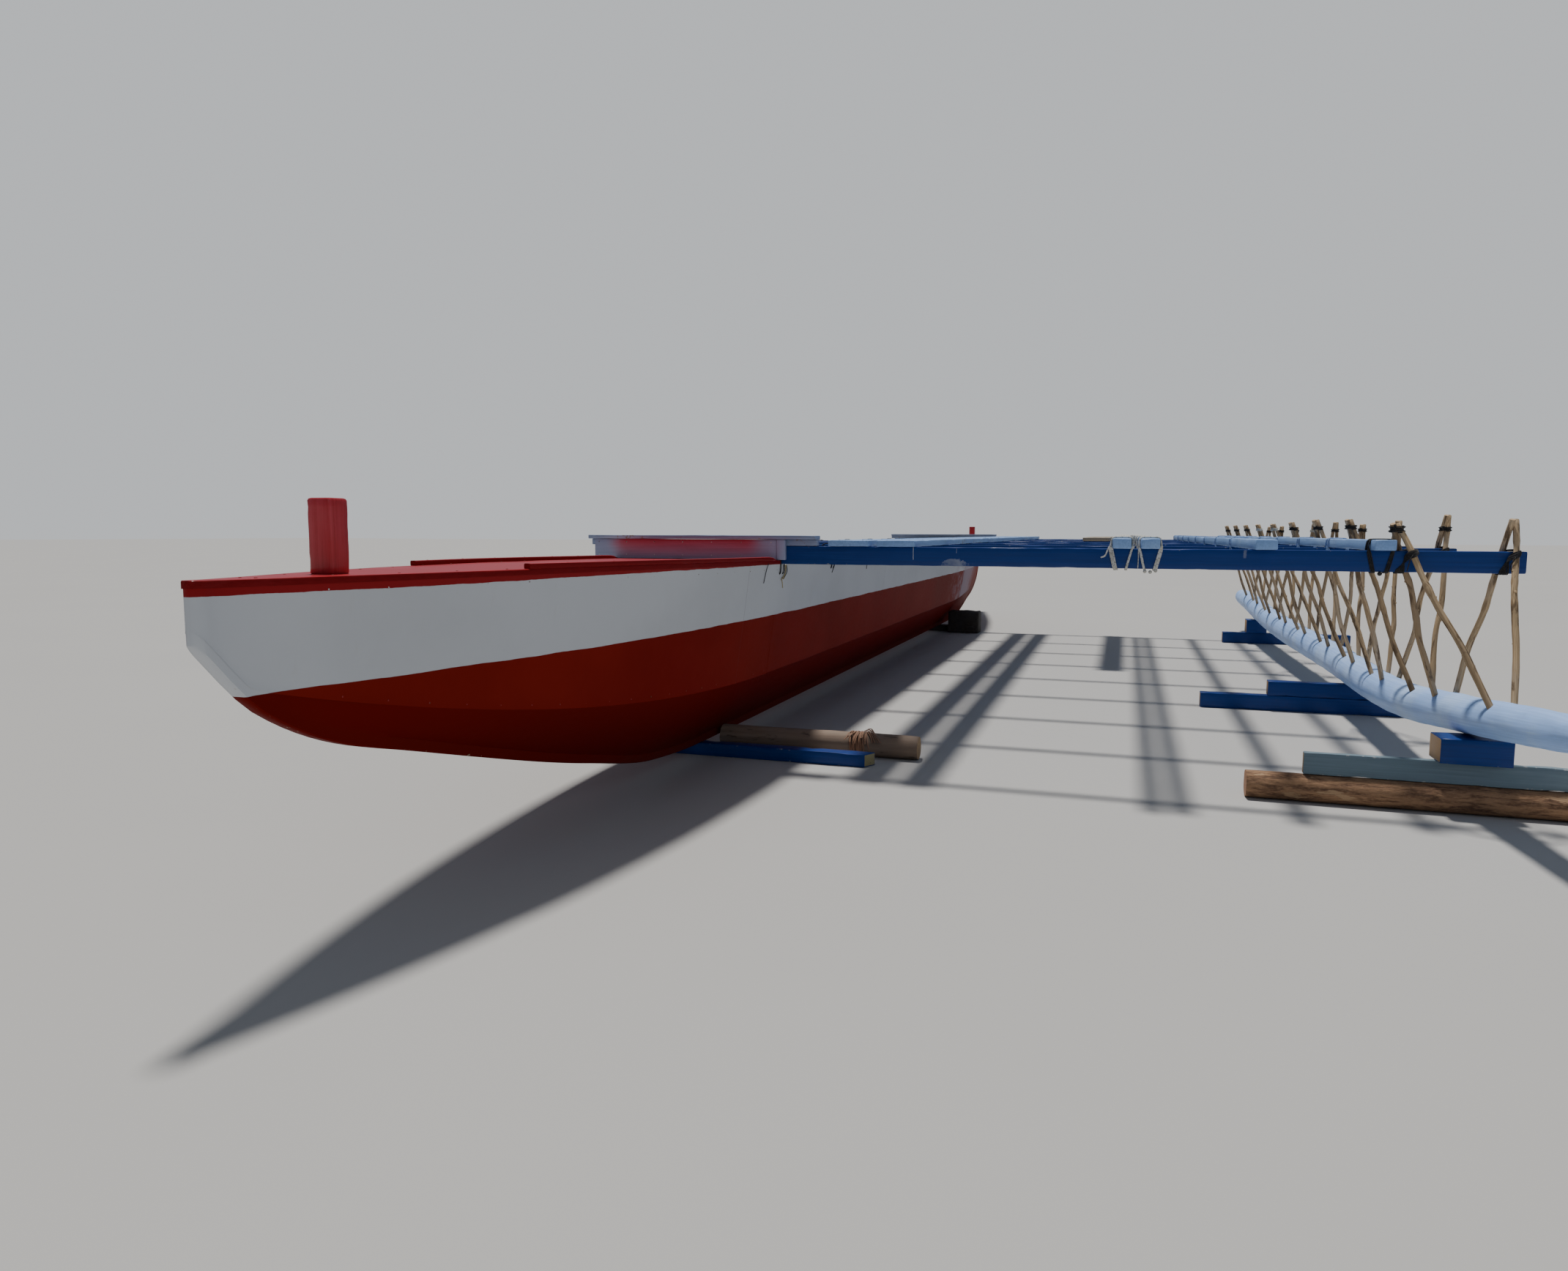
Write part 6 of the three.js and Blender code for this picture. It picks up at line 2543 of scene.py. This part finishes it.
@dataclass
class Chocks:
    """Logs, planks and blocks that carry the hull and the float ashore.

    Attributes:
        maker: Maker of round bars.
        hull_log: Place, radius and ends of the log beside the keel.
        float_log: Place, radius and ends of the log under the float.
        strip_y: Place of the strip of bark on the log beside the keel.
        strip_parts: How many bands, shreds and ends the strip has.
        mid: Ends of the lower and upper planks on edge, and height of the lower.
    """

    maker: RoundMaker
    hull_log: tuple[float, float, float, float] = (4.13, 0.073, 0.057, 1.34)
    float_log: tuple[float, float, float, float] = (4.42, 0.073, 3.14, 5.02)
    strip_y: float = 0.93
    strip_parts: tuple[int, int, int] = (7, 12, 4)
    mid: tuple[float, float, float, float, float] = (3.11, 4.57, 3.60, 4.48, 0.12)

    def _log(self, name: str, sizes: tuple[float, float, float, float], finishes: tuple[Finish, Finish],
             node: str, seed: int) -> None:
        """Makes a round log lying across the canoe.

        Args:
            name: Name of the new object.
            sizes: Place along the canoe, radius, and ends across it.
            finishes: Finish of its bark, and of its cut ends.
            node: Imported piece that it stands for.
            seed: Which random pattern.
        """
        x, radius, near, far = sizes
        y = np.linspace(near, far, int((far - near) / 0.032))
        points = np.stack([np.full_like(y, x), y, np.full_like(y, radius)], -1)
        points[:, 0] += 0.004 * ripple(points, 1.1, seed)
        radii = radius * (1 - 0.03 * (0.5 + 0.5 * ripple(points, 0.5, seed + 1)))
        radii[[0, -1]] *= 0.985
        self.maker.bars(name, [Line(points, radii)], "log_bark", finishes, node, sides=32, lump=0.006,
                        lump_length=0.09, hollow=0.003, seed=seed)

    def under_hull(self) -> None:
        """Makes the log beside the keel with its strip of bark, the plank and the blocks aft."""
        self._log("hull_chock_log", self.hull_log, (PEELED_WOOD, RAW_WOOD), "chock_hull_log", 81)
        self._bark_strip()
        self._timber("chock_hull_plank", BEAM_PAINT, OLIVE_WOOD, "beam_blue", skew=(0.0, -0.5))
        # These blocks' near-black colour is part dark timber, part painted shade under the hull.
        self._timber("chock_keel_block", DARK_AND_SHADED_WOOD, DARK_AND_SHADED_WOOD, "dark_timber")
        self._timber("chock_bilge_block", DARK_AND_SHADED_WOOD, DARK_AND_SHADED_WOOD, "dark_timber", ease=0.022, chip=0.02,
                     uneven=0.008, pitch=0.02)

    def _bark_strip(self) -> None:
        """Makes the torn strip of bark tied round the log beside the keel."""
        x, radius, _, _ = self.hull_log
        rng = np.random.default_rng(83)
        reach, lines = radius + 0.004, []

        def wrapped(angle: Array, out: Array | float, along: Array, least: float = 0.0) -> Array:
            """Points round the log.

            Args:
                angle: Angles from its top.
                out: Distances from its middle.
                along: Places along it.
                least: Lowest height that a point may have.

            Returns:
                The points.
            """
            high = np.maximum(radius + out * np.cos(angle), least)
            return np.stack([x + out * np.sin(angle), along, high], -1)

        turn = np.linspace(0, 2 * math.pi, 26, endpoint=False)
        bands, shreds, ends = self.strip_parts
        for n in range(bands):
            at, lean = self.strip_y + 0.011 * n + rng.normal() * 0.003, rng.normal() * 0.015
            out = reach + 0.004 * rng.uniform(0, 1)
            band = wrapped(turn, out, at + lean * np.cos(turn), 0.006)
            lines.append(Line(band, rng.uniform(0.005, 0.009), closed=True))
        for _ in range(shreds):
            at, down = self.strip_y + rng.uniform(-0.012, 0.085), rng.uniform(0.9, 1.9)
            angle = np.linspace(rng.uniform(0.0, 0.5), down, 6)
            out = reach + np.linspace(0.004, rng.uniform(0.012, 0.03), 6)
            shred = wrapped(angle, out, at + np.linspace(0, rng.normal() * 0.02, 6))
            lines.append(Line(smooth_path(shred, 0.01), rng.uniform(0.003, 0.006)))
        for n in range(ends):
            at = self.strip_y + 0.05 + 0.01 * n + np.array([0, 0.035, 0.07, 0.085 + 0.01 * n])
            knot = wrapped(np.array([-0.5, 0.1, 0.7, 1.2]), radius + 0.01 + 0.006 * n, at)
            lines.append(Line(smooth_path(knot, 0.01), 0.0055))
        self.maker.bars("hull_chock_bark_strip", lines, "log_bark", (BARK_STRIP, BARK_STRIP), sides=6,
                        lump=0.003, lump_length=0.02, flat=0.4, seed=83)

    @staticmethod
    def _timber(node: str, face: Finish, end: Finish, slot: str, **sizes: object) -> None:
        """Makes one sawn chock across the canoe."""
        sizes = {"ease": 0.005, "chip": 0.006, "uneven": 0.002, "warp": 0.0005, **sizes}
        Timber.of_node(node, Axis.Y, **sizes).place(slot, face, end, node)

    def under_float(self) -> None:
        """Makes the round log with what stands on it, and the planks on edge farther aft."""
        self._log("float_chock_log", self.float_log, (RED_BARK, ORANGE_WOOD), "chock_float_log", 91)
        self._timber("chock_float_plank", GREY_PAINT, RAW_WOOD, "weathered_grey")
        self._timber("chock_float_timber", BEAM_PAINT, RAW_WOOD, "beam_blue")
        low, high = node_box("chock_float_mid_planks")
        near, far, upper_near, upper_far, split = self.mid
        for name, y0, y1, z0, z1 in (("lower", near, far, 0.0, split),
                                     ("upper", upper_near, upper_far, split - 0.0005, high[2])):
            plank = Timber(f"float_chock_mid_{name}", (low[0], y0, z0), (high[0], y1, z1), Axis.Y,
                           ease=0.005, chip=0.005, uneven=0.002)
            plank.place("beam_blue", BEAM_PAINT, RAW_WOOD, "chock_float_mid_planks")
        self._timber("chock_float_far_plank", BEAM_PAINT, RAW_WOOD, "beam_blue")
        self._timber("chock_float_far_block", BEAM_PAINT, RAW_WOOD, "dark_timber")

    def build(self) -> None:
        """Makes every chock."""
        self.under_hull()
        self.under_float()


@dataclass
class Studio:
    """Pale floor, soft light, and the camera at the photograph's viewing angle.

    Attributes:
        eye: Place of the camera.
        heading: Direction that it looks in, in degrees from -X towards -Y.
        dip: How far it looks down, in degrees.
        roll: How far it is turned, in degrees.
        lens: Focal length in millimetres.
        sensor: Width of the sensor in millimetres.
        to_light: Direction towards the key light.
        key: Strength of the key light.
        softness: Width of the key light, in degrees.
        key_colour: Its colour.
        fill_at: Where the fill lamp hangs.
        fill_target: Where it points.
        fill_size: Width and height of its face.
        fill: Its power.
        fill_colour: Its colour.
        sky: Colour of the light from all round.
        backdrop: Colour of the surroundings as the camera sees them.
        floor_half: Half the floor's width.
    """

    eye: tuple[float, float, float] = (10.305, 0.263, 1.385)
    heading: float = 18.43
    dip: float = 5.79
    roll: float = 0.187
    lens: float = 23.34
    sensor: float = 36.0
    to_light: tuple[float, float, float] = (-0.24, -0.14, 0.96)
    key: float = 3.7
    softness: float = 6.0
    key_colour: Colour = (1.0, 0.965, 0.91)
    fill_at: tuple[float, float, float] = (13.0, 7.0, 6.0)
    fill_target: tuple[float, float, float] = (2.0, 0.0, 0.6)
    fill_size: tuple[float, float] = (8.0, 6.0)
    fill: float = 60.0
    fill_colour: Colour = (0.93, 0.96, 1.0)
    sky: Colour = (0.165, 0.185, 0.22)
    backdrop: Colour = (0.60, 0.62, 0.64)
    floor_half: float = 150.0

    def camera(self) -> None:
        """Makes the camera."""
        heading, dip, roll = (math.radians(a) for a in (self.heading, self.dip, self.roll))
        flat = math.cos(dip)
        ahead = Vector((-math.cos(heading) * flat, -math.sin(heading) * flat, -math.sin(dip)))
        level = ahead.cross(Vector((0, 0, 1))).normalized()
        upright = level.cross(ahead)
        right = level * math.cos(roll) + upright * math.sin(roll)
        up = right.cross(ahead)
        data = bpy.data.cameras.new("camera")
        data.lens, data.sensor_width, data.sensor_fit = self.lens, self.sensor, "HORIZONTAL"
        data.clip_start, data.clip_end = 0.05, 400.0
        camera = new_thing("camera", data)
        turn = Matrix((right, up, -ahead)).transposed()
        camera.matrix_world = Matrix.Translation(self.eye) @ turn.to_4x4()
        bpy.context.scene.camera = camera

    def floor(self) -> None:
        """Makes the floor."""
        mesh = bpy.data.meshes.new("studio_floor")
        corners = [(-1, -1), (1, -1), (1, 1), (-1, 1)]
        mesh.from_pydata([(x * self.floor_half, y * self.floor_half, 0) for x, y in corners], [],
                         [range(4)])
        mesh.materials.append(Floor().material())
        new_thing("studio_floor", mesh)

    def sun(self) -> None:
        """Makes the key light, high and soft-edged."""
        data = bpy.data.lights.new("key", "SUN")
        data.energy, data.angle, data.color = self.key, math.radians(self.softness), self.key_colour
        new_thing("key", data).rotation_euler = Vector(self.to_light).to_track_quat("Z", "Y").to_euler()

    def soft_lamp(self) -> None:
        """Makes the large soft fill lamp beyond the bow, on the float's side."""
        data = bpy.data.lights.new("fill", "AREA")
        data.shape, data.size, data.size_y = "RECTANGLE", *self.fill_size
        data.energy, data.color = self.fill, self.fill_colour
        lamp = new_thing("fill", data)
        lamp.location = self.fill_at
        toward = Vector(self.fill_target) - Vector(self.fill_at)
        lamp.rotation_euler = toward.to_track_quat("-Z", "Y").to_euler()

    def surroundings(self) -> None:
        """Makes the dim sky that lights the canoe, seen by the camera as a pale backdrop."""
        world = bpy.data.worlds.new("surroundings")
        world.use_nodes = True
        tree = NodeTree(world.node_tree)
        seen = tree.add("ShaderNodeLightPath").outputs["Is Camera Ray"]
        background = world.node_tree.nodes["Background"]
        tree.put(background.inputs[0], tree.blend(seen, self.sky, self.backdrop))
        bpy.context.scene.world = world

    def build(self) -> None:
        """Makes the studio."""
        self.floor()
        self.camera()
        self.sun()
        self.soft_lamp()
        self.surroundings()


def main() -> None:
    """Builds the canoe piece by piece."""
    logging.basicConfig(level=logging.INFO, format="%(message)s")
    bars, heads, lines = RoundMaker(), HeadMaker(), HullLines()
    log = FloatLog(bars)
    OpenHull(lines).build()
    for end in End:
        DeckedEnd(lines, end, heads).build()
    Platform(heads).build()
    log.build()
    Struts(bars, heads, log).build()
    Ties(bars, lines).build()
    Chocks(bars).build()
    Studio().build()
    bpy.context.view_layer.update()


if __name__ == "__main__":
    main()
